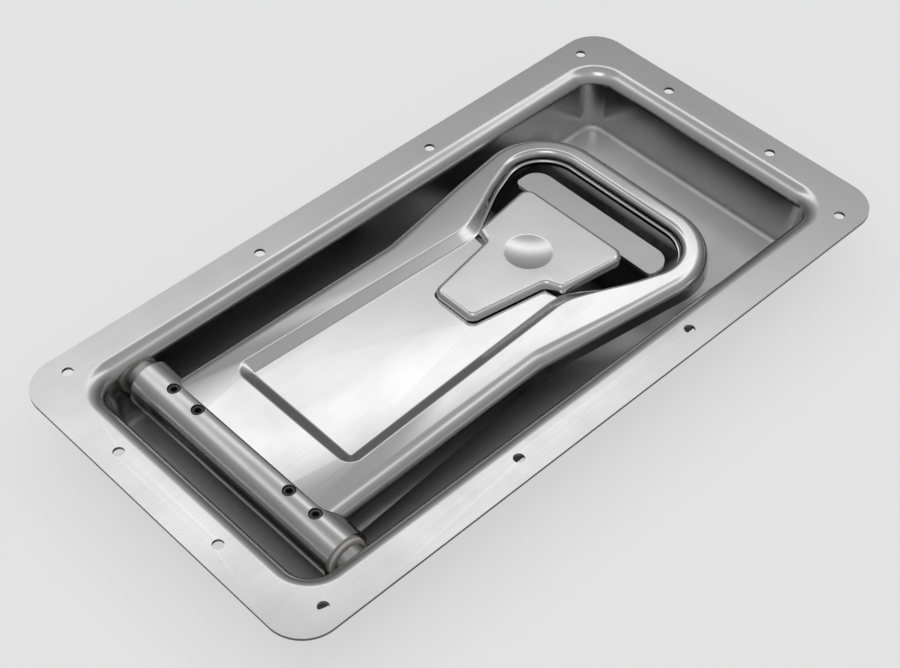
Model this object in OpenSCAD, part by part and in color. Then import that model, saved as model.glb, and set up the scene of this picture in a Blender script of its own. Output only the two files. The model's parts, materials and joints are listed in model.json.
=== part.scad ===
// Flush latch: a pressed dish that sits in a cut-out, with a lever that lies in it and turns a cross shaft.
// Millimetres. Z = 0 is the underside of the flange, +Z points out of the dish, and the hinge is at -Y.

/* [Dish] */
// Overall length of the flange
flange_l = 368; // [350:1:420]
// Overall width of the flange
flange_w = 190; // [186:1:230]
// Plan radius of the flange corners
flange_corner_r = 18; // [8:1:24]
// Thickness of the dish sheet
dish_t = 1.5; // [1:0.1:2]
// Length between the dish walls, where the rolled edge ends
dish_l = 318; // [306:1:330]
// Width between the dish walls, where the rolled edge ends
dish_w = 142; // [138:1:150]
// Depth from the flange face to the dish floor
dish_depth = 32; // [31:0.5:44]
// Plan radius of the dish corners, where the rolled edge ends
dish_corner_r = 12; // [10:0.5:20]
// Slope of the dish walls, in degrees
dish_draft = 9; // [3:0.5:11]
// Radius of the rolled edge between the flange and the wall
edge_roll_r = 8.5; // [4:0.5:8.5]
// Inside radius between the wall and the floor
floor_r = 3; // [2:0.5:4]

/* [Fixing holes] */
// Diameter of the fixing holes
hole_d = 5.2; // [4:0.1:7]
// Distance from a hole to the nearest edge of the flange
hole_inset = 10.5; // [8:0.5:12]
// Distance from the corner holes to the short edges of the flange
corner_hole_end = 21.5; // [18:0.5:30]
// Spacing of the two middle holes in each long side
side_hole_gap = 108.4; // [60:0.1:140]
// Spacing of the two holes in each short side
end_hole_gap = 66; // [40:1:90]

/* [Hinge] */
// Distance from the near dish wall to the hinge axis
hinge_from_wall = 25; // [22:0.5:30]
// Depth of the hinge axis below the flange face
hinge_depth = 13.5; // [13.5:0.5:15]
// Diameter of the cross shaft
shaft_d = 12; // [8:0.5:13]
// Length of shaft that stands out past each retaining ring
shaft_drive_l = 8; // [6:0.5:12]
// Outside diameter of the wall bushes
bush_d = 16; // [15:0.5:17]
// Length of the wall bushes
bush_l = 8.5; // [8:0.5:13]
// Length of bush that stands inside the dish, at the axis
bush_inside = 3.2; // [2.5:0.1:5]
// Outside diameter of the lever's hub tube
hub_d = 23; // [19:0.5:23]
// Thickness of the thrust washers
washer_t = 1.5; // [1:0.1:3]
// Outside diameter of the thrust washers
washer_d = 19; // [17:0.5:20]
// Thickness of the shaft's retaining rings
ring_t = 1; // [0.8:0.1:1.5]
// Depth of the groove for a shaft's retaining ring
ring_groove = 0.6; // [0.3:0.1:1]
// Radial width of a shaft's retaining ring outside its groove
ring_proud = 2.6; // [2:0.1:4]
// Diameter of the hub screws
screw_d = 6; // [4:0.5:7]
// Distance from the centre to the middle of each pair of hub screws
screw_pair_x = 38.5; // [25:0.5:48]
// Spacing of the two screws of a pair
screw_gap = 16.6; // [10:0.1:22]
// Key size of the hub screws' sockets
screw_key = 3; // [2:0.5:4]

/* [Lever] */
// Thickness of the lever sheet
lever_t = 2; // [1.5:0.1:2.2]
// Length from the hinge axis to the far end of the lever
lever_l = 247.5; // [240:0.5:262]
// Distance from the hinge axis to the near edge of the lever sheet
sheet_end = 3.4; // [3.2:0.1:7]
// Depth of the lever's rim below the flange face
rim_drop = 2; // [1.5:0.1:3]
// Fall of the rim at the hinge, from its inner to its outer edge
hinge_fall = 0.5; // [0:0.1:1]
// Width of the lever at the hinge
hinge_end_w = 108.6; // [100:0.2:114]
// Width of the lever at its waist
waist_w = 105; // [98:0.5:110]
// Plan radius of the lever's sides at the waist
waist_r = 40; // [30:1:60]
// Distance from the hinge axis to the waist
waist_from_hinge = 129; // [110:1:140]
// Distance from the dish walls to the lever's far corners, before they are rounded
grip_wall_gap = 2; // [1:0.5:4]
// Plan radius of the lever's far corners
far_r = 34; // [28:0.5:40]
// Edge radius of the lever along its sides
side_edge_r = 8; // [4:0.1:9]
// Edge radius of the lever round the grip
grip_edge_r = 6; // [4:0.1:6.5]
// Depth of the skirt round the grip
grip_skirt = 10; // [9.5:0.5:14]
// Depth of the skirt at the hinge
hinge_skirt = 20; // [14:0.5:22]
// Outward slope of the skirt, in degrees
skirt_draft = 4; // [0:0.5:6]

/* [Panel and grip opening] */
// Distance from the hinge axis to the near edge of the sunken panel
panel_from_hinge = 26; // [24:0.5:34]
// Width of the panel at its near edge
panel_near_w = 76.8; // [72:0.2:82]
// Plan radius of the panel's near corners
panel_r = 7; // [5:0.5:12]
// Width of the panel where the grip opening starts
panel_neck_w = 66; // [62:0.5:70]
// Plan radius of the panel's sides at the neck
neck_r = 30; // [20:1:40]
// Distance from the hinge axis to the panel's neck
panel_neck_from_hinge = 162; // [158:0.5:165]
// Width of the rim beside the grip opening's far corners, before they are rounded
side_rim = 10; // [9:0.5:12]
// Plan radius of the grip opening's far corners
opening_r = 20; // [16:0.5:26]
// Width of the rim past the grip opening, at the far end
far_rim = 13; // [12:0.5:16]
// Depth of the panel below the rim
panel_step = 3; // [2.6:0.1:4]
// Depth of the rolled inner edge of the grip opening
grip_step = 5.5; // [5:0.5:9]
// Edge radius of the rim above the panel
panel_edge_r = 2.6; // [2.4:0.1:3]
// Edge radius of the rim above the grip opening
opening_edge_r = 3.2; // [3:0.1:4.5]
// Slope of the step down to the panel, in degrees
panel_step_slope = 60; // [50:1:70]

/* [Trigger] */
// Height of the thumb cap's face above the lever's rim
cap_proud = 1.5; // [0.5:0.1:2]
// Thickness of the thumb cap sheet
cap_t = 2; // [1:0.1:2.2]
// Edge radius of the thumb cap
cap_edge_r = 2.6; // [2.4:0.1:3]
// Distance from the hinge axis to the thumb cap's near end
cap_from_hinge = 122.5; // [121:0.5:124]
// Width of the cap's stem at its near end
stem_near_w = 25; // [22:0.5:25.4]
// Plan radius of the stem's near corners
stem_r = 4.5; // [3:0.5:6]
// Width of the cap's stem where the fan starts
stem_far_w = 39; // [34:0.5:42]
// Length of the cap's stem
stem_l = 40; // [36:0.5:41]
// Width of the cap's fan at its shoulders
shoulder_w = 55; // [50:0.5:60]
// Plan radius between the stem and the shoulders
armpit_r = 3; // [2:0.1:4]
// Plan radius of the shoulders' corners
shoulder_r = 3.4; // [2:0.1:5]
// Distance from the end of the stem to the shoulders' corners
shoulder_rise = 3; // [2:0.5:4]
// Width of the cap's fan at its far edge
fan_w = 66; // [60:0.5:72]
// Plan radius of the fan's far corners
fan_r = 6; // [4:0.5:10]
// Length of the cap's fan, from the shoulders
fan_l = 38.5; // [34:0.5:40]
// Depth of the flange round the fan
fan_skirt = 5; // [3.5:0.1:6]
// Diameter of the thumb dimple
dimple_d = 24; // [14:0.5:26]
// Depth of the thumb dimple
dimple_depth = 1.2; // [0.4:0.1:1.4]
// Distance from the shoulders to the middle of the thumb dimple
dimple_from_shoulder = 6; // [4:0.5:16]
// Thickness of the trigger carrier and of its ears
carrier_t = 2; // [1.5:0.1:2.5]
// Depth of the carrier's face below the thumb cap's face
carrier_drop = 8.5; // [8.2:0.1:9.5]
// Distance from the carrier's lip to the sides of the grip opening, at its near edge
tongue_side_gap = 5; // [4:0.5:8]
// Length of the carrier's stepped lip
tongue_l = 15.5; // [12:0.5:16]
// Plan radius of the lip's far corners
tongue_r = 9; // [5:0.5:14]
// Distance from the fan's far edge to the lip's near edge
tongue_gap = 4; // [3:0.5:5]

/* [Trigger pivot and catch] */
// Distance from the cap's near end to the pivot pin
pin_from_cap = 6.5; // [6:0.5:9]
// Depth of the pivot pin below the carrier's underside
pin_drop = 4.2; // [4:0.1:6]
// Diameter of the pivot pin
pin_d = 5; // [3:0.1:5]
// Diameter of the pin's head
pin_head_d = 8.5; // [7:0.5:10]
// Thickness of the pin's head
pin_head_t = 1.4; // [1:0.1:2]
// Diameter of the carrier's and the bracket's ears round the pin
ear_d = 9; // [8.5:0.1:10]
// Thickness of the pivot bracket
bracket_t = 2; // [1.5:0.1:2.5]
// Width of each of the pivot bracket's feet
foot_w = 8; // [6:0.5:10]
// Length of the pivot bracket's feet
foot_l = 16; // [12:0.5:18]
// Wire diameter of the trigger's spring
wire_d = 1; // [0.8:0.1:1.2]
// Number of turns of the trigger's spring
spring_turns = 6; // [4:1:8]
// Length of the spring's leg under the carrier
spring_leg = 11; // [8:0.5:12]
// Thickness of the catch's sheet
catch_t = 2; // [1.5:0.1:2.5]
// Width of the catch
catch_w = 16; // [10:0.5:18]
// Length of the pawl's foot
pawl_foot = 8; // [6:0.5:10]
// Length of the pawl's nose
pawl_nose = 3.5; // [2:0.5:5]
// Height of the strike above the dish floor
strike_h = 9.5; // [8:0.1:11]
// Length of the strike's lip
strike_lip = 4.6; // [4:0.1:6]
// Length of the strike's foot
strike_foot = 16; // [12:0.5:24]
// Distance from the centre to each rest buffer
buffer_x = 26; // [24.5:0.5:28]
// Base diameter of the rest buffers
buffer_base_d = 18; // [12:0.5:20]
// Top diameter of the rest buffers
buffer_top_d = 12; // [8:0.5:14]

/* [Clearances] */
// Radial clearance of a turning fit
run_gap = 0.05; // [0.03:0.01:0.1]
// Clearance at a thrust face and at a rest
side_gap = 0.3; // [0.2:0.05:0.5]
// Clearance of a welded or screwed seat
seat_gap = 0.15; // [0.1:0.01:0.25]
// Clearance between the thumb cap and its slot in the panel
slot_gap = 0.7; // [0.6:0.1:1.2]
// Clearance between the pawl's nose and the strike's edge
catch_gap = 0.9; // [0.8:0.1:1.5]

/* [Hidden] */
$fn = 48;

steel = [0.80, 0.80, 0.81];
dark_steel = [0.45, 0.45, 0.47];
nylon = [0.92, 0.91, 0.86];
rubber = [0.10, 0.10, 0.11];

// Dish: the sheet turns from the flange through the rolled edge, down the wall and round to the floor
face_z = dish_t;
floor_z = face_z - dish_depth;
into_dish = [-cos(dish_draft), sin(dish_draft)];
roll_centre = [dish_corner_r, face_z - edge_roll_r] - edge_roll_r * [into_dish.x, 0];
wall_top = roll_centre + edge_roll_r * into_dish;
wall_foot_z = floor_z + floor_r - floor_r * sin(dish_draft);
wall_foot = [wall_top.x - (wall_top.y - wall_foot_z) * tan(dish_draft), wall_foot_z];
floor_centre = wall_foot + floor_r * into_dish;
bend_lap = 6;
roll_lap = roll_centre + (edge_roll_r - dish_t / 2) * polar(180 - dish_draft - bend_lap);
corner_x = dish_w / 2 - dish_corner_r;
corner_y = dish_l / 2 - dish_corner_r;

function polar(a) = [cos(a), sin(a)];

// Half width of the dish between its walls at a height
function wall_x(z) = dish_w / 2 - (wall_top.y - z) * tan(dish_draft);

// Hinge line
hinge_y = hinge_from_wall - dish_l / 2;
hinge_z = face_z - hinge_depth;
shaft_r = shaft_d / 2;
hub_r = hub_d / 2;
bush_start = wall_x(hinge_z) - bush_inside;
bush_end = bush_start + bush_l;
hub_half = bush_start - 2 * side_gap - washer_t;
ring_x = bush_end + side_gap;
shaft_half = ring_x + ring_t + shaft_drive_l;
screw_flat = 1;
screw_sink = 0.7;
screw_seat = shaft_r - screw_flat;
key_depth = 2.4;
screw_places = [for (side = [-1, 1], end = [-1, 1]) side * screw_pair_x + end * screw_gap / 2];

// Lever heights and stations along Y
rim_z = face_z - rim_drop;
panel_z = rim_z - panel_step;
panel_under = panel_z - lever_t;
sheet_end_y = hinge_y + sheet_end;
waist_y = hinge_y + waist_from_hinge;
far_y = hinge_y + lever_l;
opening_far_y = far_y - far_rim;
panel_near_y = hinge_y + panel_from_hinge;
neck_y = hinge_y + panel_neck_from_hinge;
far_w = dish_w - 2 * grip_wall_gap;
opening_far_w = far_w - 2 * side_rim;
step_foot_r = 1;
skirt_level = 10;
skirt_slope_start = waist_y - skirt_level;
skirt_slope_end = hinge_y + hub_r;
grip_blend = 36;
fall_blend = 50;
fall_end_y = panel_near_y + fall_blend;

// Trigger heights and stations along Y
cap_z = rim_z + cap_proud;
carrier_z = cap_z - carrier_drop;
carrier_under = carrier_z - carrier_t;
cap_near_y = hinge_y + cap_from_hinge;
stem_far_y = cap_near_y + stem_l;
shoulder_y = stem_far_y + shoulder_rise;
fan_far_y = shoulder_y + fan_l;
pin_y = cap_near_y + pin_from_cap;
pin_z = carrier_under - pin_drop;
pin_r = pin_d / 2;
ear_margin = 3;
ear_outer = stem_near_w / 2 + ear_margin;
bracket_ear = ear_outer + 2 * side_gap;
bracket_outer = bracket_ear + bracket_t;
pin_tail = 2.4;
pin_half = bracket_outer + pin_tail;
tongue_near_y = fan_far_y + tongue_gap;
tongue_far_y = tongue_near_y + tongue_l;
tongue_w = 2 * (opening_half(tongue_near_y) - tongue_side_gap);

// Half width of the grip opening between its straight sides
function opening_half(y) =
    panel_neck_w / 2 + (opening_far_w - panel_neck_w) / 2 * (y - neck_y) / (opening_far_y - neck_y);

// Catch
leg_gap = 1;
pawl_y = pin_y + spring_leg + leg_gap;
nose_y = pawl_y + catch_t + pawl_nose;
strike_y = nose_y + catch_gap;
strike_top = floor_z + strike_h;
nose_gap = 0.7;
nose_top = strike_top - catch_t - nose_gap;
buffer_gap = 2;
buffer_y = pin_y + foot_l / 2 + buffer_base_d / 2 + buffer_gap;

// Small vector helpers
function unit(v) = v / norm(v);
function right_of(d) = [d.y, -d.x];
function turn_between(a, b) = atan2(a.x * b.y - a.y * b.x, a * b);
function smooth(v) = let (c = min(1, max(0, v))) c * c * (3 - 2 * c);
function reversed(list) = [for (i = [len(list) - 1:-1:0]) list[i]];

// A corner rounded to radius r, as [point, outward normal] pairs
function round_corner(from, at, to, r, steps) =
    let (
        arrive = unit(at - from),
        turn = turn_between(arrive, unit(to - at)),
        side = sign(turn),
        start = at - arrive * r * tan(abs(turn) / 2),
        outward = right_of(arrive),
        centre = start - outward * side * r,
        first = atan2(outward.y, outward.x)
    )
    [for (k = [0:steps])
        let (a = first + turn * k / steps, n = [cos(a), sin(a)])
        [centre + n * side * r, n]];

// A closed outline from corners [x, y, radius]: each arc has its own steps, and so has the edge after it
function round_outline(corners, arc_steps, edge_steps) =
    let (
        count = len(corners),
        at = [for (c = corners) [c.x, c.y]],
        arcs = [for (i = [0:count - 1])
            round_corner(at[(i + count - 1) % count], at[i], at[(i + 1) % count], corners[i].z, arc_steps[i])]
    )
    [for (i = [0:count - 1])
        let (arc = arcs[i], last = arc[len(arc) - 1], next = arcs[(i + 1) % count][0])
        each concat(arc, [for (k = [1:1:edge_steps[i] - 1])
            [last[0] + (next[0] - last[0]) * k / edge_steps[i], last[1]]])];

// Right-hand corners, from near to far, and then their mirror images
function both_sides(right) = concat(right, [for (c = reversed(right)) [-c.x, c.y, c.z]]);

// The same for the steps of the arcs, and of the edges that follow them
function both_arcs(right) = concat(right, reversed(right));
function both_edges(right, far, near) = concat(right, [far], reversed(right), [near]);

// A point of an outline moved out by d, at height z
function moved(station, d, z) = concat(station[0] + station[1] * d, [z]);

// Faces between two rings of n points, the first outside or below the second
function band(a, b, n) = [for (i = [0:n - 1])
    let (j = (i + 1) % n)
    each [[a + i, b + i, b + j], [a + i, b + j, a + j]]];

// The same faces seen from the other side
function flipped(faces) = [for (f = faces) reversed(f)];

// Lever outlines: the outer edge runs past the hinge, and is cut to the hub afterwards
lever_arc_steps = [4, 6, 14];
lever_edge_steps = [8, 6];
lever_far_steps = 4;
lever_near_steps = 2;
lever_past_hinge = 30;
lever_outer = round_outline(
    both_sides([
        [hinge_end_w / 2, hinge_y - lever_past_hinge, lever_past_hinge],
        [waist_w / 2, waist_y, waist_r],
        [far_w / 2, far_y, far_r]
    ]),
    both_arcs(lever_arc_steps), both_edges(lever_edge_steps, lever_far_steps, lever_near_steps));
lever_inner = round_outline(
    both_sides([
        [panel_near_w / 2, panel_near_y, panel_r],
        [panel_neck_w / 2, neck_y, neck_r],
        [opening_far_w / 2, opening_far_y, opening_r]
    ]),
    both_arcs(lever_arc_steps), both_edges(lever_edge_steps, lever_far_steps, lever_near_steps));
lever_count = len(lever_outer);
neck_right = lever_arc_steps[0] + lever_edge_steps[0] + lever_arc_steps[1] / 2;
neck_left = lever_count - lever_near_steps - neck_right;
panel_end_y = lever_inner[neck_right][0].y;

// How far a station lies into the grip, from 0 at the neck to 1
function grip_share(y) = smooth((y - panel_end_y) / grip_blend);
function skirt_depth(y) =
    let (share = min(1, max(0, (skirt_slope_start - y) / (skirt_slope_start - skirt_slope_end))))
    grip_skirt + (hinge_skirt - grip_skirt) * share;

// Section of the lever sheet at one station, in by e from its outer face: skirt, edge, rim, step and panel edge
function lever_section(outer, inner, e) =
    let (
        grip = grip_share(inner[0].y),
        skirt = skirt_depth(outer[0].y),
        edge_r = side_edge_r + (grip_edge_r - side_edge_r) * grip,
        step_r = panel_edge_r + (opening_edge_r - panel_edge_r) * grip,
        slope = panel_step_slope + (90 - panel_step_slope) * grip,
        step = panel_step + (grip_step - panel_step) * grip,
        wall = (step - (step_r + step_foot_r) * (1 - cos(slope))) / sin(slope),
        step_x = step_r * tan(slope / 2),
        foot_x = step_x - step_r * sin(slope) - wall * cos(slope) - step_foot_r * sin(slope),
        foot_z = rim_z - step + step_foot_r,
        fall = hinge_fall * abs(outer[1].x) * smooth((fall_end_y - outer[0].y) / fall_blend),
        rim_w = norm(outer[0] - outer[1] * edge_r - inner[0] - inner[1] * step_x),
        tilt = atan(fall / rim_w),
        edge_z = rim_z - fall - edge_r
    )
    concat(
        [moved(outer, skirt * tan(skirt_draft) - e, rim_z - skirt)],
        [for (k = [0:0.25:1])
            let (a = (90 - tilt) * k)
            moved(outer, (edge_r - e) * cos(a) - edge_r, edge_z + (edge_r - e) * sin(a))],
        [for (k = [0:0.25:1])
            let (a = (slope + tilt) * k - tilt)
            moved(inner, step_x - (step_r - e) * sin(a), rim_z - step_r + (step_r - e) * cos(a))],
        [for (a = [1:-1 / 3:0])
            moved(inner, foot_x + (step_foot_r + e) * sin(a * slope),
                foot_z - (step_foot_r + e) * cos(a * slope))]
    );

// Outline of the slot that the cap's stem works in, from right to left
function stem_half(y) = stem_near_w / 2 + (stem_far_w - stem_near_w) / 2 * (y - cap_near_y) / stem_l;
slot_top = [stem_half(panel_end_y) + slot_gap, panel_end_y];
slot_foot = [stem_half(cap_near_y) + slot_gap, cap_near_y - side_gap];
slot_r = 4;
slot_steps = 5;
panel_end = concat(
    [slot_top],
    [for (p = round_corner(slot_top, slot_foot, [-slot_foot.x, slot_foot.y], slot_r, slot_steps)) p[0]],
    [for (p = round_corner(
        slot_foot, [-slot_foot.x, slot_foot.y], [-slot_top.x, slot_top.y], slot_r, slot_steps)) p[0]],
    [[-slot_top.x, slot_top.y]]);

// The lever's sheet as one pressing: rings of sections, a panel that fills the near part, and an open grip
module lever_pressing() {
    n = lever_count;
    upper = [for (i = [0:n - 1]) lever_section(lever_outer[i], lever_inner[i], 0)];
    lower = [for (i = [0:n - 1]) lever_section(lever_outer[i], lever_inner[i], lever_t)];
    rings = len(upper[0]);
    last_up = (rings - 1) * n;
    first_down = rings * n;
    last_down = first_down + (rings - 1) * n;
    end_up = 2 * rings * n;
    end_down = end_up + len(panel_end);
    points = concat(
        [for (k = [0:rings - 1], i = [0:n - 1]) upper[i][k]],
        [for (k = [0:rings - 1], i = [0:n - 1]) lower[i][k]],
        [for (p = panel_end) [p.x, p.y, panel_z]],
        [for (p = panel_end) [p.x, p.y, panel_under]]);
    panel_chain = concat([for (i = [neck_left:n - 1]) i], [for (i = [0:neck_right]) i]);
    edge_chain = [for (k = [0:len(panel_end) - 1]) k];
    panel_up = concat([for (i = panel_chain) last_up + i], [for (k = edge_chain) end_up + k]);
    panel_down = concat([for (i = panel_chain) last_down + i], [for (k = edge_chain) end_down + k]);
    rim_of_panel = concat([len(panel_chain) - 1], [for (k = edge_chain) len(panel_chain) + k], [0]);
    faces = concat(
        [for (k = [0:rings - 2]) each band(k * n, (k + 1) * n, n)],
        [for (k = [0:rings - 2]) each flipped(band(first_down + k * n, first_down + (k + 1) * n, n))],
        flipped(band(0, first_down, n)),
        [for (i = [neck_right:neck_left - 1])
            [last_up + i + 1, last_up + i, last_down + i, last_down + i + 1]],
        [reversed(panel_up), panel_down],
        [for (k = [0:len(rim_of_panel) - 2])
            let (p = rim_of_panel[k], q = rim_of_panel[k + 1])
            [panel_up[p], panel_up[q], panel_down[q], panel_down[p]]]);
    polyhedron(points, faces, convexity = 10);
}

// A rod along X between two places, on the line through y and z
module cross_rod(from, to, r, y, z) {
    translate([from, y, z])
        rotate([0, 90, 0])
            cylinder(r = r, h = to - from);
}

// A tube along X
module cross_tube(from, to, r_out, r_in, y, z) {
    difference() {
        cross_rod(from, to, r_out, y, z);
        cross_rod(from - 1, to + 1, r_in, y, z);
    }
}

// A plate outline with round corners
module round_plate(w, l, r) {
    square([w - 2 * r, l], center = true);
    square([w, l - 2 * r], center = true);
    for (x = [-1, 1], y = [-1, 1])
        translate([x * (w / 2 - r), y * (l / 2 - r)])
            circle(r);
}

// Part of a ring between two angles less than 180 degrees apart
module ring_sector(r_out, r_in, a, b) {
    reach = 2 * r_out;
    middle = (a + b) / 2;
    intersection() {
        difference() {
            circle(r_out);
            circle(r_in);
        }
        polygon([[0, 0], for (t = [a, middle, b]) reach * polar(t)]);
    }
}

// Section of the dish sheet from the rolled edge to the floor, with X measured from a corner's centre.
// The straight wall laps a little into the rolled edge.
module dish_section() {
    translate(roll_centre)
        ring_sector(edge_roll_r, edge_roll_r - dish_t, 90, 180 - dish_draft);
    polygon([wall_top, wall_foot, wall_foot - dish_t * into_dish, wall_top - dish_t * into_dish, roll_lap]);
    translate(floor_centre)
        ring_sector(floor_r + dish_t, floor_r, -90, -dish_draft);
}

// A straight side of the dish, centred, with its section at a distance from the middle
module dish_side(length, out) {
    translate([out, length / 2, 0])
        rotate([90, 0, 0])
            linear_extrude(length)
                dish_section();
}

module dish_corner() {
    translate([corner_x, corner_y, 0])
        rotate_extrude(angle = 90)
            dish_section();
}

// A shape and its three mirror images in X and Y
module four_ways() {
    for (x = [0, 1], y = [0, 1])
        mirror([x, 0, 0])
            mirror([0, y, 0])
                children();
}

module fixing_holes() {
    corner_x_hole = flange_w / 2 - hole_inset;
    places = [
        [corner_x_hole, flange_l / 2 - corner_hole_end],
        [corner_x_hole, side_hole_gap / 2],
        [end_hole_gap / 2, flange_l / 2 - hole_inset]
    ];
    four_ways()
        for (p = places)
            translate([p.x, p.y, -1])
                cylinder(d = hole_d, h = dish_t + 2);
}

// The pressed dish with its flange, fixing holes and the two bush holes in its side walls
module recess_pan() {
    flat_x = corner_x + roll_centre.x;
    flat_y = corner_y + roll_centre.x;
    color(steel)
        difference() {
            union() {
                linear_extrude(dish_t)
                    difference() {
                        round_plate(flange_w, flange_l, flange_corner_r);
                        round_plate(2 * flat_x, 2 * flat_y, roll_centre.x);
                    }
                four_ways()
                    dish_corner();
                for (turn = [0, 180])
                    rotate(turn) {
                        dish_side(2 * corner_y, corner_x);
                        rotate(90)
                            dish_side(2 * corner_x, corner_y);
                    }
                translate([0, 0, floor_z - dish_t])
                    linear_extrude(dish_t)
                        round_plate(
                            2 * (corner_x + floor_centre.x), 2 * (corner_y + floor_centre.x), floor_centre.x);
            }
            fixing_holes();
            cross_rod(-dish_w, dish_w, bush_d / 2, hinge_y, hinge_z);
        }
}

// A plain bush welded into a side wall
module shaft_bush(side) {
    color(dark_steel)
        mirror([side < 0 ? 1 : 0, 0, 0])
            cross_tube(bush_start, bush_end, bush_d / 2, shaft_r + run_gap, hinge_y, hinge_z);
}
module shaft_bush_left() { shaft_bush(-1); }
module shaft_bush_right() { shaft_bush(1); }

// A bent plate from a section in Y and Z, centred across the part
module bent_plate(width) {
    translate([-width / 2, 0, 0])
        rotate([90, 0, 90])
            linear_extrude(width)
                children();
}

// The strike: a foot on the dish floor, a riser and a lip for the pawl
module catch_strike() {
    riser_y = strike_y + strike_lip;
    color(steel)
        bent_plate(catch_w) {
            translate([strike_y, strike_top - catch_t])
                square([strike_lip, catch_t]);
            translate([riser_y - catch_t, floor_z])
                square([catch_t, strike_h]);
            translate([riser_y - catch_t, floor_z])
                square([strike_foot, catch_t]);
        }
}

// A rubber buffer on the dish floor that the lever's panel rests on
module rest_buffer(side) {
    color(rubber)
        translate([side * buffer_x, buffer_y, floor_z])
            cylinder(d1 = buffer_base_d, d2 = buffer_top_d, h = panel_under - side_gap - floor_z);
}
module rest_buffer_left() { rest_buffer(-1); }
module rest_buffer_right() { rest_buffer(1); }

// The lever: the pressing cut off where it meets the hub
module lever_shell() {
    reach = flange_w;
    color(steel)
        difference() {
            lever_pressing();
            cross_rod(-reach, reach, hub_r + seat_gap, hinge_y, hinge_z);
            translate([-reach, sheet_end_y - reach, -reach])
                cube([2 * reach, reach, 2 * reach]);
            translate([-reach, hinge_y + hub_r + seat_gap - reach, hinge_z - reach])
                cube([2 * reach, reach, reach]);
        }
}

// The hub tube under the lever's near edge, drilled for its four screws
module hub_tube() {
    color(steel)
        difference() {
            cross_tube(-hub_half, hub_half, hub_r, shaft_r + run_gap, hinge_y, hinge_z);
            for (x = screw_places)
                translate([x, hinge_y, hinge_z])
                    cylinder(d = screw_d + 2 * run_gap, h = hub_r + 1);
        }
}

// The cross shaft with a flat under each pair of screws, two ring grooves and a plain drive end at each side
module drive_shaft() {
    flat_end = 1;
    flat_l = screw_gap + screw_d + 2 * flat_end;
    color(dark_steel)
        difference() {
            cross_rod(-shaft_half, shaft_half, shaft_r, hinge_y, hinge_z);
            for (side = [-1, 1]) {
                translate([side * screw_pair_x - flat_l / 2, hinge_y - shaft_r, hinge_z + screw_seat])
                    cube([flat_l, shaft_d, shaft_d]);
                mirror([side < 0 ? 1 : 0, 0, 0])
                    cross_tube(ring_x, ring_x + ring_t, shaft_d, shaft_r - ring_groove, hinge_y, hinge_z);
            }
        }
}

// Four socket screws that hold the hub to the shaft
module hub_screws() {
    top = hub_r - screw_sink;
    color(dark_steel)
        for (x = screw_places)
            translate([x, hinge_y, hinge_z])
                difference() {
                    translate([0, 0, screw_seat])
                        cylinder(d = screw_d, h = top - screw_seat);
                    translate([0, 0, top - key_depth])
                        cylinder(d = screw_key / cos(30), h = key_depth + 1, $fn = 6);
                }
}

// A thrust washer between the hub and a bush
module thrust_washer(side) {
    color(nylon)
        mirror([side < 0 ? 1 : 0, 0, 0])
            cross_tube(hub_half, hub_half + washer_t, washer_d / 2, shaft_r + run_gap, hinge_y, hinge_z);
}
module thrust_washer_left() { thrust_washer(-1); }
module thrust_washer_right() { thrust_washer(1); }

// An open retaining ring in a groove of a rod along X, with its gap downwards
module open_ring(x, thick, r_out, r_in, y, z) {
    difference() {
        cross_tube(x, x + thick, r_out, r_in, y, z);
        translate([x - 1, y - r_in / 2, z - 2 * r_out])
            cube([thick + 2, r_in, 2 * r_out]);
    }
}

module shaft_ring(side) {
    inner = shaft_r - ring_groove;
    color(dark_steel)
        mirror([side < 0 ? 1 : 0, 0, 0])
            open_ring(ring_x, ring_t, shaft_r + ring_proud, inner, hinge_y, hinge_z);
}
module shaft_ring_left() { shaft_ring(-1); }
module shaft_ring_right() { shaft_ring(1); }

// Outline of an ear that hangs from a height and ends round the pin, in Y and Z
module ear_outline(top) {
    translate([pin_y, pin_z])
        circle(d = ear_d);
    translate([pin_y - ear_d / 2, pin_z])
        square([ear_d, top - pin_z]);
}

// A plate across X, from one side of its place to the other
module ear(from, thick, top) {
    translate([from, 0, 0])
        rotate([90, 0, 90])
            linear_extrude(thick)
                ear_outline(top);
}

// The pivot bracket under the panel: two feet, two ears and a web that holds the spring
module trigger_bracket() {
    web_y = pin_y - spring_r() - wire_d / 2 - seat_gap;
    web_gap = 1;
    web_top = pin_z - ear_d / 2 - web_gap;
    web_h = 5;
    color(steel)
        difference() {
            union() {
                for (side = [0, 1])
                    mirror([side, 0, 0]) {
                        translate([bracket_ear, pin_y - foot_l / 2, panel_under - bracket_t])
                            cube([bracket_t + foot_w, foot_l, bracket_t]);
                        translate([bracket_ear, web_y - bracket_t, web_top - web_h])
                            cube([bracket_t, ear_d, web_h + ear_d]);
                        ear(bracket_ear, bracket_t, panel_under - bracket_t);
                    }
                translate([-bracket_outer, web_y - bracket_t, web_top - web_h])
                    cube([2 * bracket_outer, bracket_t, web_h]);
            }
            cross_rod(-pin_half, pin_half, pin_r + run_gap, pin_y, pin_z);
        }
}

// The pivot pin, with a head at its left end and a groove for its ring at its right end
pin_groove = 0.6;
pin_ring_t = 0.8;
module trigger_pin() {
    color(dark_steel) {
        difference() {
            cross_rod(-bracket_outer - seat_gap, pin_half, pin_r, pin_y, pin_z);
            cross_tube(bracket_outer + seat_gap, bracket_outer + seat_gap + pin_ring_t, pin_d,
                pin_r - pin_groove, pin_y, pin_z);
        }
        cross_rod(
            -bracket_outer - seat_gap - pin_head_t, -bracket_outer - seat_gap, pin_head_d / 2, pin_y, pin_z);
    }
}
module pin_ring() {
    color(dark_steel)
        open_ring(bracket_outer + seat_gap, pin_ring_t, pin_head_d / 2, pin_r - pin_groove, pin_y, pin_z);
}

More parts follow.
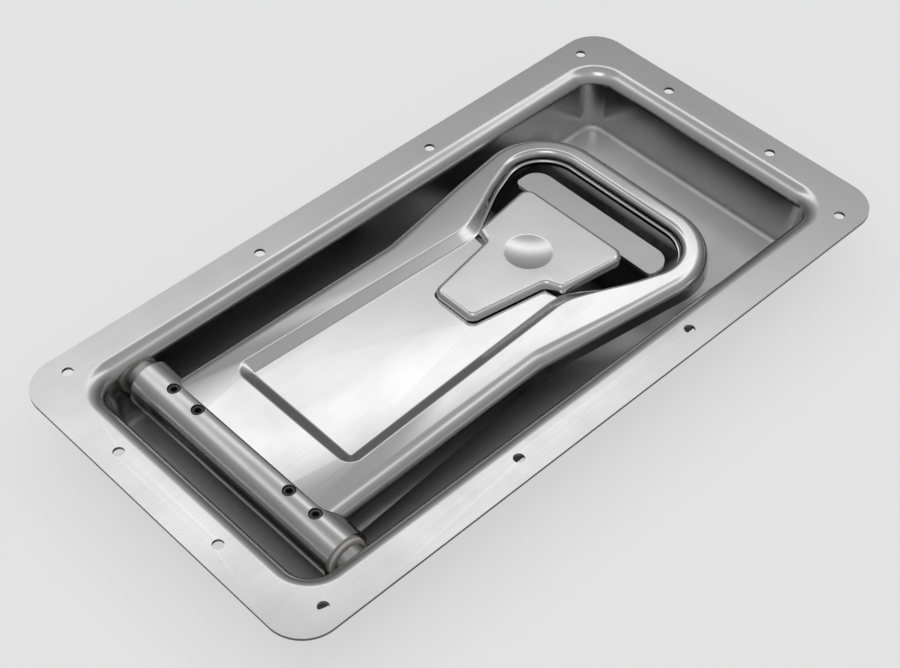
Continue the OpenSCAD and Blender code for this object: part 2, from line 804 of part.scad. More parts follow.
// The trigger's spring: a coil round the pin, a leg under the carrier and a leg against the bracket's web
function spring_r() = pin_r + wire_d / 2 + side_gap;
spring_pitch = wire_d * 1.25;
spring_half = spring_turns * spring_pitch / 2;
spring_ring_steps = 12;
spring_sides = 8;
spring_end_leg = ear_d;
spring_angles = 90 + 360 * spring_turns;
function spring_path() =
    let (steps = round(spring_ring_steps * spring_angles / 360), r = spring_r())
    concat(
        [[-spring_half, pin_y + spring_leg, pin_z + r]],
        [for (k = [0:steps])
            let (a = 90 + spring_angles * k / steps)
            [-spring_half + 2 * spring_half * k / steps, pin_y + r * cos(a), pin_z + r * sin(a)]],
        [[spring_half, pin_y - r, pin_z - spring_end_leg]]);
module trigger_spring() {
    path = spring_path();
    last = len(path) - 1;
    n = spring_sides;
    points = [for (i = [0:last])
        let (
            along = unit(path[min(i + 1, last)] - path[max(i - 1, 0)]),
            across = unit(cross(along, [1, 0, 0])),
            up = cross(across, along)
        )
        for (k = [0:n - 1]) path[i] + (across * cos(360 * k / n) + up * sin(360 * k / n)) * wire_d / 2];
    faces = concat(
        [for (i = [0:last - 1]) each band(i * n, (i + 1) * n, n)],
        [[for (k = [0:n - 1]) k], [for (k = [n - 1:-1:0]) last * n + k]]);
    color(dark_steel)
        polyhedron(points, faces, convexity = 10);
}

// Outline of the thumb cap: a stem that widens, two shoulders and a fan
cap_outline = round_outline(
    both_sides([
        [stem_near_w / 2, cap_near_y, stem_r],
        [stem_far_w / 2, stem_far_y, armpit_r],
        [shoulder_w / 2, shoulder_y, shoulder_r],
        [fan_w / 2, fan_far_y, fan_r]
    ]),
    both_arcs([5, 4, 5, 6]), both_edges([6, 1, 4], 3, 2));

// Depth of the cap's flange: the stem stands on the carrier, and the fan's edge is shallower
function cap_depth(y) = y < shoulder_y - 1 ? carrier_drop : fan_skirt;
function cap_section(station, e) = concat(
    [moved(station, -e, cap_z - cap_depth(station[0].y))],
    [for (a = [0:22.5:90])
        moved(station, (cap_edge_r - e) * cos(a) - cap_edge_r,
            cap_z - cap_edge_r + (cap_edge_r - e) * sin(a))]);
module cap_pressing() {
    n = len(cap_outline);
    outer = [for (s = cap_outline) cap_section(s, 0)];
    inner = [for (s = cap_outline) cap_section(s, cap_t)];
    rings = len(outer[0]);
    first_in = rings * n;
    points = concat(
        [for (k = [0:rings - 1], i = [0:n - 1]) outer[i][k]],
        [for (k = [0:rings - 1], i = [0:n - 1]) inner[i][k]]);
    faces = concat(
        [for (k = [0:rings - 2]) each band(k * n, (k + 1) * n, n)],
        [for (k = [0:rings - 2]) each flipped(band(first_in + k * n, first_in + (k + 1) * n, n))],
        flipped(band(0, first_in, n)),
        [[for (i = [n - 1:-1:0]) (rings - 1) * n + i], [for (i = [0:n - 1]) first_in + (rings - 1) * n + i]]);
    polyhedron(points, faces, convexity = 10);
}

// The thumb cap, with a dimple for the thumb
module thumb_cap() {
    dimple_r = (dimple_d * dimple_d / 4 + dimple_depth * dimple_depth) / (2 * dimple_depth);
    color(steel)
        difference() {
            cap_pressing();
            translate([0, shoulder_y + dimple_from_shoulder, cap_z - dimple_depth + dimple_r])
                sphere(dimple_r, $fn = 96);
        }
}

// The carrier under the cap: a neck with two ears round the pin, and a wide lip past the fan
carrier_neck = stem_far_w / 2;
carrier_near_r = 4;
carrier_bend_r = 12;
tongue_near_r = 3;
carrier_outline = [for (s = round_outline(
    both_sides([
        [ear_outer, cap_near_y, carrier_near_r],
        [ear_outer, pin_y + foot_l / 2 + buffer_gap, carrier_bend_r],
        [carrier_neck, stem_far_y, carrier_bend_r],
        [carrier_neck, tongue_near_y, tongue_near_r],
        [tongue_w / 2, tongue_near_y, tongue_near_r],
        [tongue_w / 2, tongue_far_y, tongue_r]
    ]),
    both_arcs([4, 4, 4, 4, 4, 8]), both_edges([1, 1, 1, 1, 1], 1, 1))) s[0]];
module trigger_carrier() {
    color(steel)
        difference() {
            union() {
                translate([0, 0, carrier_under])
                    linear_extrude(carrier_t)
                        polygon(carrier_outline);
                for (side = [0, 1])
                    mirror([side, 0, 0])
                        ear(ear_outer - carrier_t, carrier_t, carrier_under);
            }
            cross_rod(-ear_outer - 1, ear_outer + 1, pin_r + run_gap, pin_y, pin_z);
        }
}

// The pawl under the carrier: a foot, a leg and a nose that faces the strike
module catch_pawl() {
    color(steel)
        bent_plate(catch_w) {
            translate([pawl_y, carrier_under - catch_t])
                square([pawl_foot, catch_t]);
            translate([pawl_y, nose_top - catch_t])
                square([catch_t, carrier_under - nose_top + catch_t]);
            translate([pawl_y, nose_top - catch_t])
                square([catch_t + pawl_nose, catch_t]);
        }
}

recess_pan();
shaft_bush_left();
shaft_bush_right();
catch_strike();
rest_buffer_left();
rest_buffer_right();
lever_shell();
hub_tube();
drive_shaft();
hub_screws();
thrust_washer_left();
thrust_washer_right();
shaft_ring_left();
shaft_ring_right();
trigger_bracket();
trigger_pin();
pin_ring();
trigger_spring();
thumb_cap();
trigger_carrier();
catch_pawl();
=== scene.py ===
"""Looks of a recessed flush latch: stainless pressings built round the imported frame, in millimetres."""

import json
import logging
import math
from collections.abc import Sequence
from dataclasses import dataclass, field
from enum import Enum
from typing import Any, NamedTuple

import bmesh
import bpy
from mathutils import Matrix, Vector


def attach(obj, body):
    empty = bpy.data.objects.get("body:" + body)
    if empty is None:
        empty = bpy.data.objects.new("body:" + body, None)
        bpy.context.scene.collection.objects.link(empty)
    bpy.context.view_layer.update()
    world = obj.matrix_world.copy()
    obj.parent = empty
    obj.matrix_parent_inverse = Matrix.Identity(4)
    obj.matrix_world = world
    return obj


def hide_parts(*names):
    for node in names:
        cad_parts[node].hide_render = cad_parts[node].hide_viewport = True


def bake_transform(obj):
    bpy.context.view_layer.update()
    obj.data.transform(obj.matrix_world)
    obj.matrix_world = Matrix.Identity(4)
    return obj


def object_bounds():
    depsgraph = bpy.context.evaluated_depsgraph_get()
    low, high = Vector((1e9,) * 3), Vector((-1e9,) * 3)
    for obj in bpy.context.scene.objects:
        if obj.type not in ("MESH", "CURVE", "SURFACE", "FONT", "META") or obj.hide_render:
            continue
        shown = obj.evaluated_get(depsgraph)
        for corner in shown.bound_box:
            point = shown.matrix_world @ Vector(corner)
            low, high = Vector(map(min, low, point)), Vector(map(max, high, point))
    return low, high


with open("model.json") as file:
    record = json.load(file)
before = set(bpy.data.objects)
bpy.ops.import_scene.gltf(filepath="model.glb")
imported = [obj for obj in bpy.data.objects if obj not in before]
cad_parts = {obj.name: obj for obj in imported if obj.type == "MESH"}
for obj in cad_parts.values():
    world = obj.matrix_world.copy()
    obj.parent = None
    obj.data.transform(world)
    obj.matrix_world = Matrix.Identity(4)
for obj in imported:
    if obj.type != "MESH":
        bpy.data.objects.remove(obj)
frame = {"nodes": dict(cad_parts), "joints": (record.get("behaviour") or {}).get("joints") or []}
CAD_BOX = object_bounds()

MM = 0.001
MERGE = 0.002 * MM
FLAT_ANGLE = math.radians(1.0)
BEVEL_ANGLE = math.radians(42.0)
BEVEL_STEPS = 2
NORMAL_WEIGHT = 60
FINE_ROUND = 48
NOISE_MIDDLE = 0.5
UPRIGHT = Matrix.Identity(3)
LOG = logging.getLogger("flush_latch")

Pair = tuple[float, float]
Point = tuple[float, float, float]
Colour = tuple[float, float, float]


class Value:
    """A node's number output that takes part in Python arithmetic."""

    def __init__(self, graph: "Graph", socket: bpy.types.NodeSocket) -> None:
        """Keeps the graph that new Math nodes go into, and the socket."""
        self.graph = graph
        self.socket = socket

    def _math(self, operation: str, first: Any, second: Any, clamp: bool = False) -> "Value":
        """The result of a new Math node, kept between 0 and 1 if it is clamped."""
        return self.graph.value("ShaderNodeMath", {0: first, 1: second}, operation=operation, use_clamp=clamp)

    def __add__(self, other: Any) -> "Value":
        """This plus another."""
        return self._math("ADD", self, other)

    __radd__ = __add__

    def __sub__(self, other: Any) -> "Value":
        """This less another."""
        return self._math("SUBTRACT", self, other)

    def __rsub__(self, other: Any) -> "Value":
        """Another less this."""
        return self._math("SUBTRACT", other, self)

    def __mul__(self, other: Any) -> "Value":
        """This times another."""
        return self._math("MULTIPLY", self, other)

    __rmul__ = __mul__

    def positive(self) -> "Value":
        """This, or 0 where it is less."""
        return self._math("MAXIMUM", self, 0.0)

    def clamped(self) -> "Value":
        """This kept between 0 and 1."""
        return self._math("ADD", self, 0.0, clamp=True)


class Graph:
    """Adds nodes to a shader or geometry tree."""

    def __init__(self, tree: bpy.types.NodeTree) -> None:
        """Keeps the tree."""
        self.tree = tree

    def node(self, kind: str, sockets: dict[str | int, Any] | None = None, **settings: Any) -> bpy.types.Node:
        """Adds a node, with its settings first and its sockets after.

        Args:
            kind: the node's type.
            sockets: values or links, by the socket's name or number.
            settings: its properties, with a colour ramp's stops under "stops".

        Returns:
            The new node.
        """
        made = self.tree.nodes.new(kind)
        for name, value in settings.items():
            if name == "stops":
                self._set_stops(made.color_ramp, value)
            else:
                setattr(made, name, value)
        for name, value in (sockets or {}).items():
            self.feed(made.inputs[name], value)
        return made

    def feed(self, socket: bpy.types.NodeSocket, value: Any) -> None:
        """Links a value to a socket, or sets the socket's own number.

        Args:
            socket: the input.
            value: a Value, an output socket or a plain number, colour or vector.
        """
        source = value.socket if isinstance(value, Value) else value
        if isinstance(source, bpy.types.NodeSocket):
            self.tree.links.new(source, socket)
        else:
            socket.default_value = value

    def value(self, kind: str, sockets: dict[str | int, Any] | None = None, output: str | int = 0,
              **settings: Any) -> Value:
        """One output of a new node, by its name or number."""
        return Value(self, self.node(kind, sockets, **settings).outputs[output])

    def axes(self, place: bpy.types.NodeSocket) -> tuple[Value, Value, Value]:
        """The three parts of a vector."""
        parts = self.node("ShaderNodeSeparateXYZ", {"Vector": place})
        return tuple(Value(self, output) for output in parts.outputs)

    def mixed(self, share: Value, first: Any, second: Any) -> bpy.types.NodeSocket:
        """Two colours mixed by a share of the second."""
        return self.node("ShaderNodeMix", {0: share, 6: first, 7: second}, data_type="RGBA").outputs[2]

    def _set_stops(self, ramp: bpy.types.ColorRamp, stops: Sequence[Pair]) -> None:
        """Gives a ramp its stops.

        Args:
            ramp: the ramp.
            stops: places and their levels of grey.
        """
        while len(ramp.elements) < len(stops):
            ramp.elements.new(1.0)
        for element, (place, level) in zip(ramp.elements, stops):
            element.position = place
            element.color = (*grey(level), 1.0)


class Grain(Enum):
    """The way that the fine lines of a surface run, as sizes of a noise cell in millimetres."""

    ALONG = (0.7, 60.0, 0.7)
    ROUND = (0.5, 25.0, 25.0)
    EVEN = (1.2, 1.2, 1.2)


def grey(level: float) -> Colour:
    """A neutral colour."""
    return (level, level, level)


@dataclass(frozen=True)
class PaintedShade:
    """Painted shade: where a surface's colour is darkened because other surfaces close it in, within limits,
    in millimetres.
    """

    reach: float
    start: float
    gain: float
    level: float
    near_y: float
    far_y: float
    right_x: float
    top_z: float
    fade: float = 14.0
    samples: int = 16

    def mask(self, graph: Graph, place: bpy.types.NodeSocket) -> Value:
        """How much painted shade the surface gets, from 0 to 1.

        Args:
            graph: the material's graph.
            place: the coordinates.

        Returns:
            The mask.
        """
        # Painted shade from ambient occlusion, kept within the limits below.
        clear = graph.value("ShaderNodeAmbientOcclusion", {"Distance": self.reach * MM}, "AO",
                            samples=self.samples)
        dark = ((self.start - clear) * self.gain).clamped()
        x, y, z = graph.axes(place)
        limits = (y - self.near_y * MM, self.far_y * MM - y, self.right_x * MM - x, self.top_z * MM - z)
        for inside in limits:
            dark = dark * (inside * (1.0 / (self.fade * MM))).clamped()
        return dark


@dataclass(frozen=True)
class Finish:
    """A surface with fine lines, soft clouds, smoother edges and, where given, painted shade in its hollows.
    """

    slot: str
    colour: Colour
    shade: Colour
    roughness: float
    grain: Grain
    metallic: float = 1.0
    line_depth: float = 0.002
    line_rough: float = 0.06
    cloud_size: float = 34.0
    cloud_rough: float = 0.08
    stain_start: float = 0.42
    stain_gain: float = 2.6
    stain_share: float = 0.55
    line_share: float = 0.35
    wave_size: float = 55.0
    wave_depth: float = 0.05
    noise_rough: float = 0.55
    line_detail: float = 3.0
    cloud_detail: float = 4.0
    wave_detail: float = 1.0
    edge_start: float = 0.515
    edge_gain: float = 14.0
    edge_polish: float = 0.04
    # Painted shade: darkens the base colour where other surfaces close this one in.
    hollow: PaintedShade | None = None
    lean_r: float = 0.0
    left_lean_r: float = 380.0
    left_lean_x: float = 28.0
    kind: str = ""
    dull_z: float = 0.0
    dull_blend: float = 2.0
    dull_rough: float = 0.0

    def material(self) -> bpy.types.Material:
        """Makes the finish's material once.

        Returns:
            The material, named after the slot.
        """
        name = f"{self.slot}{self.kind}_finish"
        made = bpy.data.materials.get(name)
        if made is not None:
            return made
        made = bpy.data.materials.new(name)
        made.use_nodes = True
        made.node_tree.nodes.clear()
        graph = Graph(made.node_tree)
        place = graph.node("ShaderNodeTexCoord").outputs["Object"]
        lines = self._noise(graph, place, self.grain.value, self.line_detail)
        cloud = self._noise(graph, place, (self.cloud_size,) * 3, self.cloud_detail)
        waves = self._noise(graph, place, (self.wave_size,) * 3, self.wave_detail)
        bend = graph.value("ShaderNodeNewGeometry", output="Pointiness")
        edges = ((bend - self.edge_start) * self.edge_gain).clamped()
        stain = ((cloud - self.stain_start) * self.stain_gain).clamped()
        colour = graph.mixed(stain * self.stain_share + lines * self.line_share,
                             (*self.colour, 1.0), (*self.shade, 1.0))
        # Painted shade: the base colour goes towards near black where other surfaces close the surface in.
        if self.hollow:
            dark = grey(self.shade[0] * self.hollow.level)
            colour = graph.mixed(self.hollow.mask(graph, place), colour, (*dark, 1.0))
        uneven = (cloud - NOISE_MIDDLE) * self.cloud_rough + (lines - NOISE_MIDDLE) * self.line_rough
        rough = uneven + self.roughness - edges * self.edge_polish
        if self.dull_rough:
            z = graph.axes(place)[2]
            low = ((self.dull_z * MM - z) * (1.0 / (self.dull_blend * MM))).clamped()
            rough = rough + low * self.dull_rough
        rough = rough.clamped()
        height = lines * (self.line_depth * MM) + waves * (self.wave_depth * MM)
        if self.lean_r:
            x = graph.axes(place)[0]
            right = x.positive()
            left = (-self.left_lean_x * MM - x).positive()
            height = height - right * right * (0.5 / (self.lean_r * MM))
            height = height - left * left * (0.5 / (self.left_lean_r * MM))
        bump = graph.node("ShaderNodeBump", {"Strength": 1.0, "Distance": 1.0, "Height": height})
        shader = graph.node("ShaderNodeBsdfPrincipled", {
            "Base Color": colour, "Metallic": self.metallic, "Roughness": rough,
            "Normal": bump.outputs["Normal"]})
        graph.node("ShaderNodeOutputMaterial", {"Surface": shader.outputs["BSDF"]})
        return made

    def _noise(self, graph: Graph, place: bpy.types.NodeSocket, cell: Sequence[float],
               detail: float) -> Value:
        """Noise with cells of a size along each axis.

        Args:
            graph: the material's graph.
            place: the coordinates.
            cell: the size of a cell, in millimetres.
            detail: how many finer layers it has.

        Returns:
            The noise, about 0 to 1.
        """
        scale = tuple(1.0 / (size * MM) for size in cell)
        spread = graph.node("ShaderNodeMapping", {"Vector": place, "Scale": scale})
        return graph.value("ShaderNodeTexNoise", {"Vector": spread.outputs[0], "Scale": 1.0,
                                                  "Detail": detail, "Roughness": self.noise_rough})


class Station(NamedTuple):
    """A point of an outline and the direction out of it."""

    at: Vector
    out: Vector

    def moved(self, distance: float, z: float) -> Point:
        """The point moved out by a distance, at a height."""
        return (self.at.x + self.out.x * distance, self.at.y + self.out.y * distance, z)


class Corner(NamedTuple):
    """A corner of an outline with its radius, and the steps of its arc and of the edge after it."""

    x: float
    y: float
    r: float
    arc: int
    edge: int = 1


def smooth(share: float) -> float:
    """A soft step from 0 to 1."""
    share = min(1.0, max(0.0, share))
    return share * share * (3.0 - 2.0 * share)


def between(first: float, last: float, share: float) -> float:
    """A number at a share of the way from the first to the last."""
    return first + (last - first) * share


def steps_between(first: float, last: float, count: int) -> list[float]:
    """Evenly spaced numbers from the first to the last."""
    return [first + (last - first) * step / count for step in range(count + 1)]


def arc(centre: Sequence[float], r: float, first: float, last: float, steps: int) -> list[Pair]:
    """Points on a circle, from one angle to another."""
    angles = steps_between(first, last, steps)
    return [(centre[0] + r * math.cos(angle), centre[1] + r * math.sin(angle)) for angle in angles]


def circle(steps: int) -> list[Pair]:
    """Points round a circle of radius 1."""
    return arc((0.0, 0.0), 1.0, 0.0, math.tau, steps)[:-1]


def round_corner(before: Vector, at: Vector, after: Vector, r: float, steps: int) -> list[Station]:
    """Rounds one corner of an outline.

    Args:
        before: the corner before it.
        at: the corner.
        after: the corner after it.
        r: its radius.
        steps: the arc's steps.

    Returns:
        The arc's stations.
    """
    arrive = (at - before).normalized()
    leave = (after - at).normalized()
    turn = math.atan2(arrive.x * leave.y - arrive.y * leave.x, arrive.dot(leave))
    side = math.copysign(1.0, turn)
    out = Vector((arrive.y, -arrive.x))
    start = at - arrive * r * math.tan(abs(turn) / 2)
    centre = start - out * side * r
    first = math.atan2(out.y, out.x)
    normals = [Vector(normal) for normal in arc((0.0, 0.0), 1.0, first, first + turn, steps)]
    return [Station(centre + normal * side * r, normal) for normal in normals]


def outline(corners: Sequence[Corner]) -> list[Station]:
    """A closed outline with round corners.

    Args:
        corners: its corners, anticlockwise.

    Returns:
        Its stations.
    """
    at = [Vector((corner.x, corner.y)) for corner in corners]
    count = len(corners)
    arcs = [round_corner(at[i - 1], at[i], at[(i + 1) % count], corners[i].r, corners[i].arc)
            for i in range(count)]
    stations: list[Station] = []
    for i, corner in enumerate(corners):
        last = arcs[i][-1]
        following = arcs[(i + 1) % count][0]
        stations.extend(arcs[i])
        for step in range(1, corner.edge):
            stations.append(Station(last.at.lerp(following.at, step / corner.edge), last.out))
    return stations


def both_sides(right: Sequence[Corner], far_edge: int = 1, near_edge: int = 1) -> list[Corner]:
    """Corners of the right side, from near to far, and their mirror images.

    Args:
        right: the right-hand corners.
        far_edge: the steps of the edge across the far end.
        near_edge: the steps of the edge across the near end.

    Returns:
        All the corners, anticlockwise.
    """
    edges = [corner.edge for corner in right[:-1]]
    going = [corner._replace(edge=edge) for corner, edge in zip(right, [*edges, far_edge])]
    back = [corner._replace(x=-corner.x, edge=edge)
            for corner, edge in zip(reversed(right), [*reversed(edges), near_edge])]
    return going + back


def linked(name: str, data: bpy.types.ID) -> bpy.types.Object:
    """Puts a new object into the scene.

    Args:
        name: its name.
        data: its mesh, light or camera.

    Returns:
        The object.
    """
    made = bpy.data.objects.new(name, data)
    bpy.context.scene.collection.objects.link(made)
    return made


def cleaned(name: str, mesh: bpy.types.Mesh, flat_angle: float = 0.0) -> bpy.types.Object:
    """Makes an object of a mesh, with merged points and smooth faces.

    Args:
        name: the object's name.
        mesh: the mesh.
        flat_angle: the angle up to which faces become one. Without it, they are turned outwards.

    Returns:
        The object.
    """
    work = bmesh.new()
    work.from_mesh(mesh)
    bmesh.ops.remove_doubles(work, verts=work.verts, dist=MERGE)
    if flat_angle:
        bmesh.ops.dissolve_limit(work, angle_limit=flat_angle, verts=work.verts, edges=work.edges)
    else:
        bmesh.ops.recalc_face_normals(work, faces=work.faces)
    for part in work.faces:
        part.smooth = True
    work.to_mesh(mesh)
    work.free()
    return linked(name, mesh)


class Shell:
    """A mesh that is put together from rings of points, in millimetres."""

    def __init__(self) -> None:
        """Starts with no points."""
        self.points: list[Point] = []
        self.faces: list[list[int]] = []

    def ring(self, points: Sequence[Point]) -> list[int]:
        """Adds points and returns their numbers."""
        self.points.extend(points)
        return list(range(len(self.points) - len(points), len(self.points)))

    def band(self, a: Sequence[int], b: Sequence[int]) -> None:
        """Joins two closed rings with a band of faces."""
        corners = zip(a, [*a[1:], a[0]], [*b[1:], b[0]], b)
        self.faces.extend(list(four) for four in corners)

    def bands(self, rings: Sequence[Sequence[Point]]) -> list[list[int]]:
        """Adds rings and joins each to the next.

        Args:
            rings: the rings' points.

        Returns:
            The rings' numbers.
        """
        numbers = [self.ring(points) for points in rings]
        for a, b in zip(numbers, numbers[1:]):
            self.band(a, b)
        return numbers

    def face(self, ring: Sequence[int]) -> None:
        """Closes a ring with one face."""
        self.faces.append(list(ring))

    def closed(self, rings: Sequence[Sequence[Point]]) -> "Shell":
        """Adds rings that are joined to each other and closed at both ends.

        Args:
            rings: the rings' points.

        Returns:
            This shell.
        """
        numbers = self.bands(rings)
        self.face(numbers[0])
        self.face(numbers[-1])
        return self

    def piece(self, name: str) -> bpy.types.Object:
        """Makes the mesh's object, in metres, with its faces outwards.

        Args:
            name: the object's name.

        Returns:
            The object.
        """
        mesh = bpy.data.meshes.new(name)
        mesh.from_pydata([tuple(c * MM for c in point) for point in self.points], [], self.faces)
        return cleaned(name, mesh)


def lathe(name: str, profile: Sequence[Pair], centre: Vector, turn: Matrix | None = None,
          segments: int = 96) -> bpy.types.Object:
    """Turns a closed profile round an axis.

    Args:
        name: the object's name.
        profile: places along the axis and their radii, in millimetres.
        centre: the middle of the axis.
        turn: a rotation from Z to the axis, which is X if none is given.
        segments: the number of segments.

    Returns:
        The object.
    """
    turn = turn or Matrix.Rotation(math.pi / 2, 3, "Y")
    rings = [[tuple(centre + turn @ Vector((r * x, r * y, along))) for x, y in circle(segments)]
             for along, r in profile]
    shell = Shell()
    if profile[0] == profile[-1]:
        shell.bands(rings)
    else:
        shell.closed(rings)
    return shell.piece(name)


def block(name: str, low: Sequence[float], high: Sequence[float]) -> bpy.types.Object:
    """A box between its lowest and its highest corner, in millimetres."""
    square = [(low[0], low[1]), (high[0], low[1]), (high[0], high[1]), (low[0], high[1])]
    return Shell().closed([[(x, y, z) for x, y in square] for z in (low[2], high[2])]).piece(name)


def worked(piece: bpy.types.Object, edge: float, cuts: Sequence[bpy.types.Object] = (),
           joins: Sequence[bpy.types.Object] = ()) -> bpy.types.Object:
    """Joins and cuts a piece, rounds its sharp edges and leaves a plain mesh.

    Args:
        piece: the piece.
        edge: the width of its rounded edges, in millimetres.
        cuts: shapes that are taken away, and then removed.
        joins: shapes that are added, and then removed.

    Returns:
        The piece.
    """
    tools = [(tool, "UNION") for tool in joins] + [(tool, "DIFFERENCE") for tool in cuts]
    for tool, operation in tools:
        change = piece.modifiers.new(tool.name, "BOOLEAN")
        change.operation = operation
        change.solver = "EXACT"
        change.object = tool
    bevel = piece.modifiers.new("edges", "BEVEL")
    bevel.width = edge * MM
    bevel.segments = BEVEL_STEPS
    bevel.limit_method = "ANGLE"
    bevel.angle_limit = BEVEL_ANGLE
    bevel.miter_outer = "MITER_ARC"
    level = piece.modifiers.new("level", "WEIGHTED_NORMAL")
    level.weight = NORMAL_WEIGHT
    plain(piece)
    for tool, _ in tools:
        mesh = tool.data
        bpy.data.objects.remove(tool)
        bpy.data.meshes.remove(mesh)
    return piece


def plain(piece: bpy.types.Object) -> bpy.types.Object:
    """Turns a piece's modifiers into its own mesh.

    Args:
        piece: the piece.

    Returns:
        The piece.
    """
    depsgraph = bpy.context.evaluated_depsgraph_get()
    depsgraph.update()
    mesh = bpy.data.meshes.new_from_object(piece.evaluated_get(depsgraph), depsgraph=depsgraph)
    piece.modifiers.clear()
    old = piece.data
    piece.data = mesh
    bpy.data.meshes.remove(old)
    mesh.name = piece.name
    return piece


class Bend(NamedTuple):
    """A bend from a piece's own body to another, in millimetres; the script keeps these values but does not
    bend the piece.
    """

    body: str
    start: Vector
    end: Vector


def fit(piece: bpy.types.Object, body: str, finish: Finish, *nodes: str, bend: Bend | None = None) -> None:
    """Gives a piece its material and its body, or leaves it where it is, unattached, if it has a bend; and
    hides the nodes that it stands for.

    Args:
        piece: the piece.
        body: the body that it moves with.
        finish: its finish.
        nodes: the nodes that it replaces.
        bend: a bend to another body; if given, the piece is not attached or bent but left where it is.
    """
    piece.data.materials.clear()
    piece.data.materials.append(finish.material())
    if bend:
        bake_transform(piece)
    else:
        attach(piece, body)
    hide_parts(*nodes)
    LOG.info("%s: %d faces on %s", piece.name, len(piece.data.polygons), body)


def eased(node: str, body: str, finish: Finish, edge: float) -> None:
    """Makes a piece from a frame node's solid, with rounded edges of a width in millimetres."""
    made = cleaned(f"eased_{node}", frame["nodes"][node].data.copy(), FLAT_ANGLE)
    fit(worked(made, edge), body, finish, node)


def joint_place(name: str) -> Vector:
    """The place of a joint, in millimetres."""
    joint = next(joint for joint in frame["joints"] if joint["name"] == name)
    return Vector(joint["pos_m"]) / MM


# Painted shade on the dish: its floor and lower walls under the ring grip are painted near black where the
# closed lever covers them.
UNDER_GRIP_PAINTED_SHADE = PaintedShade(reach=70.0, start=0.80, gain=6.0, level=0.03,
                    near_y=56.0, far_y=128.0, right_x=44.0, top_z=-14.0)
# Painted shade inside the lever, where its own sheet and the parts near it close it in.
INSIDE_LEVER_PAINTED_SHADE = PaintedShade(reach=45.0, start=0.55, gain=2.6, level=0.12,
                      near_y=-200.0, far_y=200.0, right_x=50.0, top_z=20.0)
DISH_STEEL = Finish("dish_steel", grey(0.64), grey(0.54), 0.20, Grain.ALONG, hollow=UNDER_GRIP_PAINTED_SHADE,
                    dull_z=-26.0, dull_rough=0.30)
LEVER_STEEL = Finish("lever_steel", grey(0.68), grey(0.58), 0.16, Grain.ALONG, hollow=INSIDE_LEVER_PAINTED_SHADE,
                     lean_r=560.0)
# Painted light and shade: one trigger_steel metal in two copies, painted lighter on the cap and pawl and
# darker on the carrier below the cap.
TRIGGER_STEEL_PAINTED_LIGHT = Finish("trigger_steel", grey(0.74), grey(0.64), 0.22, Grain.ALONG)
CARRIER_STEEL_PAINTED_SHADE = Finish("trigger_steel", grey(0.54), grey(0.44), 0.26, Grain.ALONG, kind="_carrier")
HUB_STEEL = Finish("hub_steel", grey(0.58), grey(0.48), 0.22, Grain.ROUND)
SHAFT_STEEL = Finish("shaft_steel", grey(0.50), grey(0.40), 0.34, Grain.ROUND)
SCREW_STEEL = Finish("screw_steel", grey(0.10), grey(0.05), 0.42, Grain.EVEN)
SPRING_STEEL = Finish("spring_steel", grey(0.34), grey(0.24), 0.36, Grain.EVEN)
BUSH_STEEL = Finish("bush_steel", grey(0.42), grey(0.32), 0.38, Grain.ROUND)
WASHER_NYLON = Finish("washer_nylon", (0.74, 0.73, 0.68), (0.62, 0.60, 0.55), 0.50, Grain.EVEN, metallic=0.0)
BUFFER_RUBBER = Finish("buffer_rubber", grey(0.028), grey(0.045), 0.72, Grain.EVEN, metallic=0.0)


